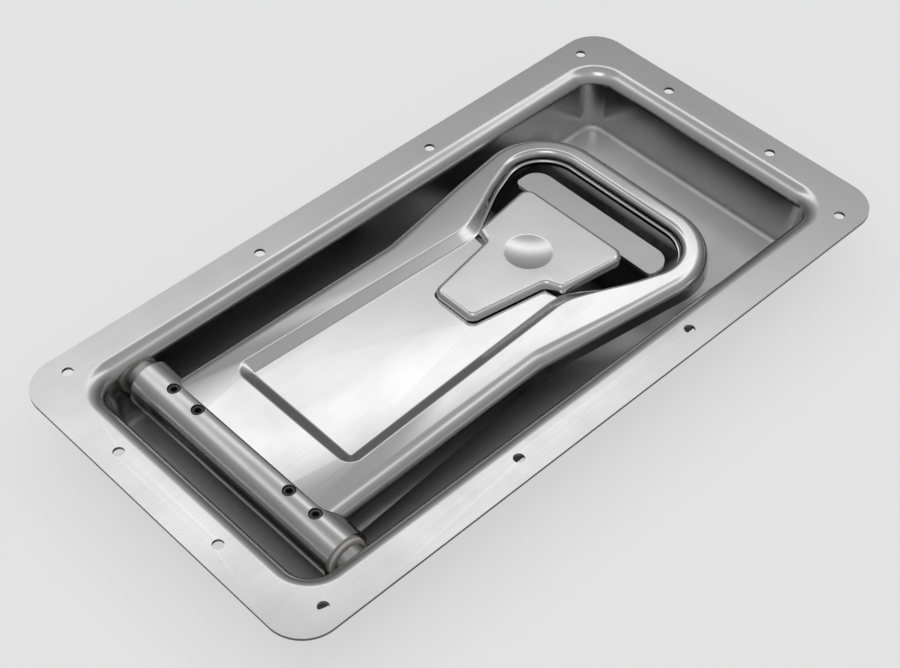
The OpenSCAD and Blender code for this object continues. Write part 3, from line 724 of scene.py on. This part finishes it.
@dataclass
class Dish:
    """The deep-drawn dish with its flange, fixing holes and bush holes."""

    hinge: Vector
    flange_l: float = 368.0
    flange_w: float = 190.0
    flange_r: float = 18.0
    sheet: float = 1.5
    inner_l: float = 318.0
    inner_w: float = 142.0
    depth: float = 32.0
    corner_r: float = 12.0
    draft: float = math.radians(9.0)
    roll_r: float = 8.5
    floor_r: float = 3.0
    hole_d: float = 5.2
    hole_inset: float = 10.5
    corner_hole_end: float = 21.5
    side_hole_gap: float = 108.4
    end_hole_gap: float = 66.0
    bush_d: float = 16.0
    arc_steps: int = 20
    roll_steps: int = 20
    floor_steps: int = 10
    hole_segments: int = 40
    edge: float = 0.25

    def ring(self, r: float, z: float) -> list[Point]:
        """A ring round the dish whose corners share their centres."""
        return self.rounded(self.inner_w / 2 - self.corner_r, self.inner_l / 2 - self.corner_r, r, z)

    def rounded(self, x: float, y: float, r: float, z: float) -> list[Point]:
        """A rounded rectangle.

        Args:
            x: the corner centres' place across.
            y: the corner centres' place along.
            r: the corners' radius.
            z: its height.

        Returns:
            Its points.
        """
        points = []
        for quarter, (side, end) in enumerate(((1, 1), (-1, 1), (-1, -1), (1, -1))):
            first = quarter * math.pi / 2
            corner = arc((side * x, end * y), r, first, first + math.pi / 2, self.arc_steps)
            points.extend((*point, z) for point in corner)
        return points

    def face_rings(self, inset: float) -> list[list[Point]]:
        """One face of the sheet, from the flange's edge to the floor.

        Args:
            inset: how far the face lies below the upper one.

        Returns:
            Its rings.
        """
        top = self.sheet
        floor = top - self.depth
        into = Vector((-math.cos(self.draft), math.sin(self.draft)))
        roll = Vector((self.corner_r - self.roll_r * into.x, top - self.roll_r))
        wall_top = roll + into * self.roll_r
        foot_z = floor + self.floor_r - self.floor_r * math.sin(self.draft)
        foot = Vector((wall_top.x - (wall_top.y - foot_z) * math.tan(self.draft), foot_z))
        low = foot + into * self.floor_r
        edge_x = self.flange_w / 2 - self.flange_r
        edge_y = self.flange_l / 2 - self.flange_r
        rim = self.rounded(edge_x, edge_y, self.flange_r, top - inset)
        bend = arc(roll, self.roll_r - inset, math.pi / 2, math.pi - self.draft, self.roll_steps)
        hollow = arc(low, self.floor_r + inset, -self.draft, -math.pi / 2, self.floor_steps)
        return [rim, *(self.ring(r, z) for r, z in [*bend, *hollow])]

    def hole_places(self) -> list[Pair]:
        """The places of the fixing holes.

        Returns:
            Their places across and along.
        """
        x = self.flange_w / 2 - self.hole_inset
        y = self.flange_l / 2 - self.hole_inset
        right = [(x, self.flange_l / 2 - self.corner_hole_end), (x, self.side_hole_gap / 2),
                 (self.end_hole_gap / 2, y)]
        return [(side * a, end * b) for a, b in right for side in (1, -1) for end in (1, -1)]

    def build(self) -> bpy.types.Object:
        """Makes the dish.

        Returns:
            The piece.
        """
        shell = Shell().closed([*reversed(self.face_rings(0.0)), *self.face_rings(self.sheet)])
        r = self.hole_d / 2
        reach = 3 * self.sheet
        cuts = [lathe("hole", [(-reach, r), (reach, r)], Vector((x, y, 0.0)), UPRIGHT, self.hole_segments)
                for x, y in self.hole_places()]
        r = self.bush_d / 2
        cuts.append(lathe("bush_hole", [(-self.inner_w, r), (self.inner_w, r)], self.hinge))
        return worked(shell.piece("dish"), self.edge, cuts)

    def dress(self) -> None:
        """Fits the dish and the pieces that are fixed to it."""
        fit(self.build(), "dish", DISH_STEEL, "recess_pan")
        eased("catch_strike", "dish", DISH_STEEL, edge=0.4)
        for side in ("left", "right"):
            eased(f"shaft_bush_{side}", "dish", BUSH_STEEL, edge=0.4)
            eased(f"rest_buffer_{side}", "dish", BUFFER_RUBBER, edge=0.9)


@dataclass
class Lever:
    """The lever: one pressing with skirts, a rolled rim, a sunken panel and a ring grip."""

    hinge: Vector
    sheet: float = 2.0
    length: float = 247.5
    sheet_end: float = 3.4
    rim_z: float = -0.5
    hinge_fall: float = 0.5
    fall_blend: float = 50.0
    hinge_end_w: float = 108.6
    past_hinge: float = 30.0
    waist_w: float = 105.0
    waist_r: float = 40.0
    waist_from_hinge: float = 129.0
    far_w: float = 138.0
    far_r: float = 34.0
    side_edge_r: float = 8.0
    grip_edge_r: float = 6.0
    grip_skirt: float = 10.0
    hinge_skirt: float = 20.0
    skirt_level: float = 10.0
    skirt_draft: float = math.radians(4.0)
    panel_from_hinge: float = 26.0
    panel_near_w: float = 76.8
    panel_r: float = 7.0
    panel_neck_w: float = 66.0
    neck_r: float = 30.0
    neck_from_hinge: float = 162.0
    opening_far_w: float = 118.0
    opening_r: float = 20.0
    far_rim: float = 13.0
    panel_step: float = 3.0
    grip_step: float = 5.5
    panel_edge_r: float = 2.6
    opening_edge_r: float = 3.2
    step_slope: float = math.radians(27.0)
    panel_foot_r: float = 3.0
    grip_foot_r: float = 1.0
    grip_blend: float = 36.0
    hub_r: float = 11.5
    seat_gap: float = 0.15
    slot_from_hinge: float = 122.2
    slot_near_w: float = 26.4
    slot_far_w: float = 40.4
    slot_l: float = 40.0
    slot_r: float = 4.0
    edge: float = 0.3
    edge_steps: int = 12
    step_steps: int = 10
    foot_steps: int = 6
    slot_steps: int = 8
    outer: list[Station] = field(init=False)
    inner: list[Station] = field(init=False)
    neck: tuple[int, int] = field(init=False)

    def __post_init__(self) -> None:
        """Works out the two outlines that the sheet runs between."""
        y = self.hinge.y
        arcs = (24, 20, 44)
        edges = (30, 24)
        far_edge = 12
        near_edge = 6
        self.outer = outline(both_sides([
            Corner(self.hinge_end_w / 2, y - self.past_hinge, self.past_hinge, arcs[0], edges[0]),
            Corner(self.waist_w / 2, y + self.waist_from_hinge, self.waist_r, arcs[1], edges[1]),
            Corner(self.far_w / 2, y + self.length, self.far_r, arcs[2])], far_edge, near_edge))
        self.inner = outline(both_sides([
            Corner(self.panel_near_w / 2, y + self.panel_from_hinge, self.panel_r, arcs[0], edges[0]),
            Corner(self.panel_neck_w / 2, y + self.neck_from_hinge, self.neck_r, arcs[1], edges[1]),
            Corner(self.opening_far_w / 2, y + self.length - self.far_rim, self.opening_r, arcs[2])],
            far_edge, near_edge))
        right = arcs[0] + edges[0] + arcs[1] // 2
        self.neck = (right, len(self.outer) - near_edge - right)

    def grip_share(self, y: float) -> float:
        """How far a place lies into the grip, from 0 at the neck to 1."""
        return smooth((y - self.inner[self.neck[0]].at.y) / self.grip_blend)

    def skirt_depth(self, y: float) -> float:
        """The depth of the skirt at a place along the lever.

        Args:
            y: the place.

        Returns:
            The depth.
        """
        start = self.hinge.y + self.waist_from_hinge - self.skirt_level
        end = self.hinge.y + self.hub_r
        share = min(1.0, max(0.0, (start - y) / (start - end)))
        return between(self.grip_skirt, self.hinge_skirt, share)

    def section(self, index: int, depth: float) -> list[Point]:
        """The sheet's section at one station: skirt, edge, rim, step and panel edge.

        Args:
            index: the station's number.
            depth: how far the face lies below the upper one.

        Returns:
            Its points, from the skirt inwards.
        """
        outer = self.outer[index]
        inner = self.inner[index]
        grip = self.grip_share(inner.at.y)
        skirt = self.skirt_depth(outer.at.y)
        edge_r = between(self.side_edge_r, self.grip_edge_r, grip)
        step_r = between(self.panel_edge_r, self.opening_edge_r, grip)
        slope = between(self.step_slope, math.pi / 2, grip)
        step = between(self.panel_step, self.grip_step, grip)
        foot_r = between(self.panel_foot_r, self.grip_foot_r, grip)
        wall = (step - (step_r + foot_r) * (1 - math.cos(slope))) / math.sin(slope)
        step_x = step_r * math.tan(slope / 2)
        foot_x = step_x - (step_r + foot_r) * math.sin(slope) - wall * math.cos(slope)
        foot_z = self.rim_z - step + foot_r
        fall_end = self.hinge.y + self.panel_from_hinge + self.fall_blend
        fall = self.hinge_fall * abs(outer.out.x) * smooth((fall_end - outer.at.y) / self.fall_blend)
        rim_w = (outer.at - outer.out * edge_r - inner.at - inner.out * step_x).length
        tilt = math.atan(fall / rim_w)
        quarter = math.pi / 2
        skirt_foot = (skirt * math.tan(self.skirt_draft) - depth, self.rim_z - skirt)
        side = arc((-edge_r, self.rim_z - fall - edge_r), edge_r - depth, 0.0, quarter - tilt,
                   self.edge_steps)
        brink = arc((step_x, self.rim_z - step_r), step_r - depth, quarter - tilt, quarter + slope,
                    self.step_steps)
        foot = arc((foot_x, foot_z), foot_r + depth, slope - quarter, -quarter, self.foot_steps)
        return [*(outer.moved(*point) for point in [skirt_foot, *side]),
                *(inner.moved(*point) for point in [*brink, *foot])]

    def slot_edge(self) -> list[Vector]:
        """The edge of the panel along the trigger's slot.

        Returns:
            Its points, from right to left.
        """
        near = self.hinge.y + self.slot_from_hinge
        far = self.inner[self.neck[0]].at.y
        widen = (self.slot_far_w - self.slot_near_w) * (far - near) / self.slot_l
        top = Vector((self.slot_near_w / 2 + widen / 2, far))
        foot = Vector((self.slot_near_w / 2, near))
        left_foot = Vector((-foot.x, foot.y))
        left_top = Vector((-top.x, top.y))
        right = round_corner(top, foot, left_foot, self.slot_r, self.slot_steps)
        left = round_corner(foot, left_foot, left_top, self.slot_r, self.slot_steps)
        return [top, *(station.at for station in [*right, *left]), left_top]

    def build(self) -> bpy.types.Object:
        """Makes the lever's sheet and cuts it off at the hub.

        Returns:
            The piece.
        """
        shell = Shell()
        count = len(self.outer)
        first, last = self.neck
        faces = []
        for depth in (0.0, self.sheet):
            sections = [self.section(index, depth) for index in range(count)]
            rings = shell.bands([list(ring) for ring in zip(*sections)])
            z = sections[0][-1][2]
            slot = shell.ring([(point.x, point.y, z) for point in self.slot_edge()])
            chain = [rings[-1][index % count] for index in range(last, count + first + 1)]
            shell.face([*chain, *slot])
            faces.append((rings, [chain[-1], *slot, chain[0]]))
        (upper, upper_edge), (lower, lower_edge) = faces
        shell.band(upper[0], lower[0])
        for i in range(first, last):
            shell.face([upper[-1][i], upper[-1][i + 1], lower[-1][i + 1], lower[-1][i]])
        for i in range(len(upper_edge) - 1):
            shell.face([upper_edge[i], upper_edge[i + 1], lower_edge[i + 1], lower_edge[i]])
        reach = self.hinge_end_w
        hub = self.hub_r + self.seat_gap
        y, z = self.hinge.y, self.hinge.z
        cuts = [
            lathe("hub_cut", [(-reach, hub), (reach, hub)], self.hinge),
            block("end_cut", (-reach, y - reach, -reach), (reach, y + self.sheet_end, reach)),
            block("low_cut", (-reach, y - reach, z - reach), (reach, y + hub, z)),
        ]
        return worked(shell.piece("lever"), self.edge, cuts)

    def dress(self) -> None:
        """Fits the lever's sheet and the bracket under it."""
        fit(self.build(), "lever", LEVER_STEEL, "lever_shell")
        eased("trigger_bracket", "lever", LEVER_STEEL, edge=0.3)


class ScrewTree:
    """A geometry tree that sets socket screws in pairs along a tube."""

    INPUTS = ("Diameter", "Length", "Key", "Key Depth", "Pair Distance", "Screw Distance")
    CHAMFER_SHARE = 0.08
    KEY_SIDES = 6
    KEY_CORNER = 0.577

    def __init__(self, material: bpy.types.Material) -> None:
        """Builds the tree.

        Args:
            material: the screws' material.
        """
        self.tree = bpy.data.node_groups.new("socket_screws", "GeometryNodeTree")
        self.sockets = {}
        for name in self.INPUTS:
            made = self.tree.interface.new_socket(name=name, in_out="INPUT", socket_type="NodeSocketFloat")
            self.sockets[name] = made.identifier
        self.tree.interface.new_socket(name="Geometry", in_out="OUTPUT", socket_type="NodeSocketGeometry")
        graph = Graph(self.tree)
        given = graph.node("NodeGroupInput")
        size = {name: Value(graph, given.outputs[name]) for name in self.INPUTS}
        screw = self._screw(graph, size)
        pair = self._row(graph, size["Screw Distance"])
        pairs = self._row(graph, size["Pair Distance"])
        one = graph.node("GeometryNodeInstanceOnPoints", {"Points": pair, "Instance": screw})
        both = graph.node("GeometryNodeInstanceOnPoints", {"Points": pairs, "Instance": one.outputs[0]})
        real = graph.node("GeometryNodeRealizeInstances", {"Geometry": both.outputs[0]})
        painted = graph.node("GeometryNodeSetMaterial", {"Geometry": real.outputs[0], "Material": material})
        graph.node("NodeGroupOutput", {"Geometry": painted.outputs[0]})

    def _screw(self, graph: Graph, size: dict[str, Value]) -> bpy.types.NodeSocket:
        """One screw with a chamfered end and a hexagon socket, with its foot at zero.

        Args:
            graph: the tree's graph.
            size: the tree's inputs.

        Returns:
            The screw's geometry.
        """
        chamfer = size["Diameter"] * self.CHAMFER_SHARE
        body_l = size["Length"] - chamfer
        r = size["Diameter"] * 0.5
        key_r = size["Key"] * self.KEY_CORNER
        body = self._rod(graph, FINE_ROUND, r, r, body_l, 0.0)
        crown = self._rod(graph, FINE_ROUND, r, r - chamfer, chamfer, body_l)
        key = self._rod(graph, self.KEY_SIDES, key_r, key_r, size["Key Depth"] + chamfer,
                        size["Length"] - size["Key Depth"])
        whole = graph.node("GeometryNodeMeshBoolean", operation="UNION", solver="EXACT")
        graph.tree.links.new(body, whole.inputs["Mesh 2"])
        graph.tree.links.new(crown, whole.inputs["Mesh 2"])
        cut = graph.node("GeometryNodeMeshBoolean", {"Mesh 1": whole.outputs["Mesh"], "Mesh 2": key},
                         operation="DIFFERENCE", solver="EXACT")
        return cut.outputs["Mesh"]

    def _rod(self, graph: Graph, sides: int, low_r: Value, high_r: Value, length: Value,
             start: Any) -> bpy.types.NodeSocket:
        """A rod or a frustum that stands on a height.

        Args:
            graph: the tree's graph.
            sides: its number of sides.
            low_r: its radius at the foot.
            high_r: its radius at the head.
            length: its length.
            start: the height of its foot.

        Returns:
            Its geometry.
        """
        rod = graph.node("GeometryNodeMeshCone", {
            "Vertices": sides, "Radius Top": high_r, "Radius Bottom": low_r, "Depth": length},
            fill_type="NGON")
        lift = graph.node("ShaderNodeCombineXYZ", {"Z": start})
        moved = graph.node("GeometryNodeTransform", {
            "Geometry": rod.outputs["Mesh"], "Translation": lift.outputs[0]})
        return moved.outputs[0]

    def _row(self, graph: Graph, gap: Value) -> bpy.types.NodeSocket:
        """Two points a distance apart, centred.

        Args:
            graph: the tree's graph.
            gap: their distance.

        Returns:
            The points' geometry.
        """
        start = graph.node("ShaderNodeCombineXYZ", {"X": gap * -0.5})
        step = graph.node("ShaderNodeCombineXYZ", {"X": gap})
        row = graph.node("GeometryNodeMeshLine", {
            "Count": 2, "Start Location": start.outputs[0], "Offset": step.outputs[0]})
        return row.outputs[0]

    def piece(self, name: str, sizes: dict[str, float]) -> bpy.types.Object:
        """Makes the screws as a plain mesh.

        Args:
            name: the object's name.
            sizes: the tree's inputs, in millimetres.

        Returns:
            The object, with the foot of the screws on its origin.
        """
        made = linked(name, bpy.data.meshes.new(name))
        change = made.modifiers.new(name, "NODES")
        change.node_group = self.tree
        for socket, size in sizes.items():
            change[self.sockets[socket]] = size * MM
        return plain(made)


@dataclass
class Hinge:
    """The hub tube with its screws, on a cross shaft that runs in the dish's bushes."""

    hinge: Vector
    hub_r: float = 11.5
    hub_half: float = 64.6975
    bore_r: float = 6.05
    screw_d: float = 6.0
    screw_seat: float = 5.0
    screw_sink: float = 0.7
    screw_key: float = 3.0
    key_depth: float = 2.4
    pair_x: float = 38.5
    screw_gap: float = 16.6
    hole_gap: float = 0.05
    segments: int = 128
    edge: float = 0.4

    def screw_places(self) -> list[float]:
        """The places of the screws along the tube."""
        return [side * self.pair_x + end * self.screw_gap / 2 for side in (-1, 1) for end in (-1, 1)]

    def tube(self) -> bpy.types.Object:
        """Makes the hub tube with its screw holes.

        Returns:
            The piece.
        """
        half = self.hub_half
        profile = [(-half, self.bore_r), (-half, self.hub_r), (half, self.hub_r), (half, self.bore_r),
                   (-half, self.bore_r)]
        r = self.screw_d / 2 + self.hole_gap
        cuts = [lathe("screw_hole", [(0.0, r), (2 * self.hub_r, r)],
                      self.hinge + Vector((x, 0.0, 0.0)), UPRIGHT, FINE_ROUND) for x in self.screw_places()]
        return worked(lathe("hub", profile, self.hinge, None, self.segments), self.edge, cuts)

    def screws(self) -> bpy.types.Object:
        """Makes the screws.

        Returns:
            The piece.
        """
        tree = ScrewTree(SCREW_STEEL.material())
        made = tree.piece("hub_socket_screws", {
            "Diameter": self.screw_d, "Length": self.hub_r - self.screw_sink - self.screw_seat,
            "Key": self.screw_key, "Key Depth": self.key_depth,
            "Pair Distance": 2 * self.pair_x, "Screw Distance": self.screw_gap})
        foot = self.hinge + Vector((0.0, 0.0, self.screw_seat))
        made.data.transform(Matrix.Translation(foot * MM))
        return made

    def dress(self) -> None:
        """Fits the hub and its screws, and finishes the shaft's pieces."""
        fit(self.tube(), "lever", HUB_STEEL, "hub_tube")
        fit(self.screws(), "lever", SCREW_STEEL, "hub_screws")
        eased("drive_shaft", "lever", SHAFT_STEEL, edge=0.5)
        for side in ("left", "right"):
            eased(f"thrust_washer_{side}", "lever", WASHER_NYLON, edge=0.25)
            eased(f"shaft_ring_{side}", "lever", SCREW_STEEL, edge=0.15)


@dataclass
class Trigger:
    """The thumb trigger: a dished cap on a carrier that turns on a pin."""

    hinge: Vector
    pin: Vector
    cap_z: float = 1.0
    cap_sheet: float = 2.0
    cap_edge_r: float = 2.6
    cap_from_hinge: float = 122.5
    stem_near_w: float = 25.0
    stem_r: float = 4.5
    stem_far_w: float = 39.0
    stem_l: float = 40.0
    shoulder_w: float = 55.0
    armpit_r: float = 3.0
    shoulder_r: float = 3.4
    shoulder_rise: float = 3.0
    fan_w: float = 66.0
    fan_r: float = 6.0
    fan_l: float = 38.5
    fan_skirt: float = 5.0
    dimple_d: float = 24.0
    dimple_depth: float = 1.2
    dimple_from_shoulder: float = 6.0
    dimple_rings: Sequence[float] = (1.0, 0.92, 0.84, 0.74, 0.63, 0.5, 0.36, 0.2, 0.06)
    skirt_blend: float = 2.0
    cap_edge_steps: int = 8
    ear_steps: int = 24
    carrier_sheet: float = 2.0
    carrier_drop: float = 8.5
    tongue_w: float = 88.993
    tongue_l: float = 15.5
    tongue_r: float = 9.0
    tongue_near_r: float = 3.0
    tongue_gap: float = 4.0
    ear_margin: float = 3.0
    ear_d: float = 9.0
    pin_r: float = 2.5
    run_gap: float = 0.05
    carrier_near_r: float = 4.0
    carrier_bend_r: float = 12.0
    foot_l: float = 16.0
    foot_gap: float = 2.0
    edge: float = 0.3
    wire_d: float = 1.0
    wire_sides: int = 14
    wire_edge: float = 0.12
    spring_turns: int = 6
    spring_pitch: float = 1.25
    spring_gap: float = 0.3
    spring_leg: float = 11.0
    leg_steps: int = 16
    turn_steps: int = 40
    bend_share: float = 0.6

    @property
    def near_y(self) -> float:
        """Where the cap's stem starts."""
        return self.hinge.y + self.cap_from_hinge

    @property
    def shoulder_y(self) -> float:
        """Where the cap's shoulders are."""
        return self.near_y + self.stem_l + self.shoulder_rise

    @property
    def fan_y(self) -> float:
        """Where the cap's fan ends."""
        return self.shoulder_y + self.fan_l

    def cap_outline(self) -> list[Station]:
        """The cap's outline: a stem that widens, two shoulders and a fan.

        Returns:
            Its stations.
        """
        return outline(both_sides([
            Corner(self.stem_near_w / 2, self.near_y, self.stem_r, arc=12, edge=16),
            Corner(self.stem_far_w / 2, self.near_y + self.stem_l, self.armpit_r, arc=10, edge=2),
            Corner(self.shoulder_w / 2, self.shoulder_y, self.shoulder_r, arc=12, edge=12),
            Corner(self.fan_w / 2, self.fan_y, self.fan_r, arc=14)], far_edge=8, near_edge=4))

    def cap_rings(self, depth: float) -> list[list[Point]]:
        """One face of the cap, from the foot of its flange to the middle of its dimple.

        Args:
            depth: how far the face lies below the upper one.

        Returns:
            Its rings.
        """
        stations = self.cap_outline()
        skirts = []
        for station in stations:
            share = smooth((station.at.y - self.shoulder_y) / self.skirt_blend + 1.0)
            skirt = between(self.carrier_drop, self.fan_skirt, share)
            skirts.append(station.moved(-depth, self.cap_z - skirt))
        edge_r = self.cap_edge_r
        bend = arc((-edge_r, self.cap_z - edge_r), edge_r - depth, 0.0, math.pi / 2, self.cap_edge_steps)
        rings = [skirts, *([station.moved(*point) for station in stations] for point in bend)]
        centre = Vector((0.0, self.shoulder_y + self.dimple_from_shoulder))
        top = self.cap_z - depth
        directions = [(station.at - centre).normalized() for station in stations]
        half = self.dimple_d / 2
        ball = (half * half + self.dimple_depth * self.dimple_depth) / (2 * self.dimple_depth)
        for share in self.dimple_rings:
            r = share * half
            z = top - self.dimple_depth + ball - math.sqrt(ball * ball - r * r)
            rings.append([(centre.x + r * way.x, centre.y + r * way.y, z) for way in directions])
        return rings

    def cap(self) -> bpy.types.Object:
        """Makes the thumb cap."""
        shell = Shell().closed([*reversed(self.cap_rings(0.0)), *self.cap_rings(self.cap_sheet)])
        return worked(shell.piece("thumb_plate"), self.edge)

    def carrier(self) -> bpy.types.Object:
        """Makes the carrier: a neck with ears round the pin, and a wide lip past the fan.

        Returns:
            The piece.
        """
        ear_x = self.stem_near_w / 2 + self.ear_margin
        neck_x = self.stem_far_w / 2
        lip_y = self.fan_y + self.tongue_gap
        stations = outline(both_sides([
            Corner(ear_x, self.near_y, self.carrier_near_r, arc=8),
            Corner(ear_x, self.pin.y + self.foot_l / 2 + self.foot_gap, self.carrier_bend_r, arc=8),
            Corner(neck_x, self.near_y + self.stem_l, self.carrier_bend_r, arc=8),
            Corner(neck_x, lip_y, self.tongue_near_r, arc=8),
            Corner(self.tongue_w / 2, lip_y, self.tongue_near_r, arc=8),
            Corner(self.tongue_w / 2, lip_y + self.tongue_l, self.tongue_r, arc=16)]))
        top = self.cap_z - self.carrier_drop
        plate = Shell().closed([[station.moved(0.0, z) for station in stations]
                                for z in (top - self.carrier_sheet, top)])
        joins = [self.ear(side * (ear_x - self.carrier_sheet / 2), top - self.carrier_sheet / 2)
                 for side in (-1, 1)]
        bore = self.pin_r + self.run_gap
        cuts = [lathe("pin_bore", [(-2 * ear_x, bore), (2 * ear_x, bore)], self.pin)]
        return worked(plate.piece("trigger_lip"), self.edge, cuts, joins)

    def ear(self, x: float, top: float) -> bpy.types.Object:
        """An ear that hangs from a height and ends round the pin.

        Args:
            x: its middle across the part.
            top: the height of its upper end.

        Returns:
            Its shape.
        """
        r = self.ear_d / 2
        round_end = arc(self.pin.yz, r, math.pi, math.tau, self.ear_steps)
        section = [*round_end, (self.pin.y + r, top), (self.pin.y - r, top)]
        half = self.carrier_sheet / 2
        rings = [[(x + side * half, y, z) for y, z in section] for side in (-1, 1)]
        return Shell().closed(rings).piece("ear")

    def spring_path(self) -> list[Vector]:
        """The spring's middle line: a leg under the carrier, the coil and a leg against the bracket.

        Returns:
            Its points.
        """
        r = self.pin_r + self.wire_d / 2 + self.spring_gap
        half = self.spring_turns * self.spring_pitch / 2
        sweep = math.tau * self.spring_turns + math.pi / 2
        steps = round(self.turn_steps * sweep / math.tau)
        leg = [self.pin + Vector((-half, y, r)) for y in steps_between(self.spring_leg, 0.0, self.leg_steps)]
        coil = [self.pin + Vector((half * (2 * share - 1), -r * math.sin(sweep * share),
                                   r * math.cos(sweep * share)))
                for share in steps_between(0.0, 1.0, steps)]
        end = [self.pin + Vector((half, -r, z)) for z in steps_between(0.0, -self.ear_d, self.leg_steps)]
        return [*leg[:-1], *coil, *end[1:]]

    def spring(self) -> bpy.types.Object:
        """The trigger's spring, a round wire along its path.

        Returns:
            The piece.
        """
        path = self.spring_path()
        rings = []
        for before, at, after in zip([path[0], *path], path, [*path[1:], path[-1]]):
            along = (after - before).normalized()
            across = along.cross(Vector((1.0, 0.0, 0.0))).normalized() * self.wire_d / 2
            up = across.cross(along)
            rings.append([tuple(at + across * x + up * y) for x, y in circle(self.wire_sides)])
        return worked(Shell().closed(rings).piece("coil_spring"), self.wire_edge)

    def dress(self) -> None:
        """Fits the trigger's cap and carrier, and finishes its other pieces."""
        fit(self.cap(), "trigger", TRIGGER_STEEL_PAINTED_LIGHT, "thumb_cap")
        fit(self.carrier(), "trigger", CARRIER_STEEL_PAINTED_SHADE, "trigger_carrier")
        eased("catch_pawl", "trigger", TRIGGER_STEEL_PAINTED_LIGHT, edge=0.4)
        eased("trigger_pin", "lever", SHAFT_STEEL, edge=0.3)
        eased("pin_ring", "lever", SCREW_STEEL, edge=0.15)
        leg_end = self.pin + Vector((0.0, self.spring_leg * self.bend_share, 0.0))
        fit(self.spring(), "lever", SPRING_STEEL, "trigger_spring", bend=Bend("trigger", self.pin, leg_end))


@dataclass
class Studio:
    """The pale floor, the soft light and the camera."""

    floor_z: float
    floor_size: float = 12000.0
    floor_level: float = 0.34
    floor_glow: float = 0.575
    floor_rough: float = 0.9
    camera_at: Point = (406.15, -410.72, 586.53)
    camera_right: Point = (0.69251, 0.72134, 0.00954)
    camera_up: Point = (-0.53018, 0.49993, 0.68481)
    camera_back: Point = (0.48922, -0.47930, 0.72865)
    lens: float = 72.21
    sensor: float = 36.0
    clip: Pair = (10.0, 100000.0)
    lamp_at: Point = (500.0, -700.0, 2100.0)
    lamp_size: float = 900.0
    lamp_watts: float = 3.0
    side_gain: float = 1.2
    side_level: float = 0.5
    far_light: Sequence[Pair] = (
        (0.0, 0.08), (0.34, 0.22), (0.56, 0.38), (0.64, 0.46), (0.68, 0.60), (0.707, 0.76), (0.73, 1.2),
        (0.745, 1.45), (0.777, 1.6), (0.814, 1.5), (0.829, 0.75), (0.845, 0.45), (0.906, 0.42), (1.0, 0.5))
    near_light: Sequence[Pair] = (
        (0.0, 0.30), (0.3, 0.34), (0.6, 0.42), (0.75, 0.60), (0.85, 0.60), (1.0, 0.50))

    def floor(self) -> None:
        """Lays the floor under the part."""
        half = self.floor_size / 2
        shell = Shell()
        corners = ((-half, -half), (half, -half), (half, half), (-half, half))
        shell.face(shell.ring([(x, y, self.floor_z) for x, y in corners]))
        made = shell.piece("floor")
        paper = bpy.data.materials.new("floor_paper")
        paper.use_nodes = True
        paper.node_tree.nodes.clear()
        graph = Graph(paper.node_tree)
        seen = graph.value("ShaderNodeLightPath", output="Is Camera Ray")
        shader = graph.node("ShaderNodeBsdfPrincipled", {
            "Base Color": (*grey(self.floor_level), 1.0), "Roughness": self.floor_rough,
            "Specular IOR Level": 0.0, "Emission Color": (*grey(1.0), 1.0),
            "Emission Strength": seen * self.floor_glow})
        graph.node("ShaderNodeOutputMaterial", {"Surface": shader.outputs["BSDF"]})
        made.data.materials.append(paper)

    def sky(self) -> None:
        """Lights the room: a bright band half way up beyond the part, and soft grey on this side of it."""
        world = bpy.data.worlds.new("room")
        world.use_nodes = True
        world.node_tree.nodes.clear()
        graph = Graph(world.node_tree)
        way = graph.node("ShaderNodeTexCoord").outputs["Generated"]
        x, y, z = graph.axes(way)
        far, near = (graph.node("ShaderNodeValToRGB", {"Fac": z}, stops=stops).outputs["Color"]
                     for stops in (self.far_light, self.near_light))
        beyond = ((y - x) * self.side_gain + self.side_level).clamped()
        light = graph.node("ShaderNodeBackground", {"Color": graph.mixed(beyond, near, far), "Strength": 1.0})
        graph.node("ShaderNodeOutputWorld", {"Surface": light.outputs[0]})
        bpy.context.scene.world = world

    def lamp(self) -> None:
        """Hangs a square soft lamp that faces the part."""
        data = bpy.data.lights.new("key", "AREA")
        data.size = self.lamp_size * MM
        data.energy = self.lamp_watts
        made = linked("key", data)
        made.location = Vector(self.lamp_at) * MM
        made.rotation_mode = "QUATERNION"
        made.rotation_quaternion = (-Vector(self.lamp_at)).to_track_quat("-Z", "Y")

    def camera(self) -> None:
        """Sets the camera at the photograph's viewpoint."""
        data = bpy.data.cameras.new("camera")
        data.lens = self.lens
        data.sensor_width = self.sensor
        data.clip_start, data.clip_end = (distance * MM for distance in self.clip)
        made = linked("camera", data)
        turn = Matrix((self.camera_right, self.camera_up, self.camera_back)).transposed()
        made.matrix_world = Matrix.Translation(Vector(self.camera_at) * MM) @ turn.to_4x4()
        bpy.context.scene.camera = made

    def build(self) -> None:
        """Puts the studio together."""
        bpy.context.scene.view_settings.view_transform = "Standard"
        self.floor()
        self.sky()
        self.lamp()
        self.camera()


def main() -> None:
    logging.basicConfig(level=logging.INFO, format="%(name)s: %(message)s")
    hinge = joint_place("lever_hinge")
    pin = joint_place("trigger_hinge")
    Dish(hinge).dress()
    Lever(hinge).dress()
    Hinge(hinge).dress()
    Trigger(hinge, pin).dress()
    Studio(CAD_BOX[0].z / MM).build()


if __name__ == "__main__":
    main()
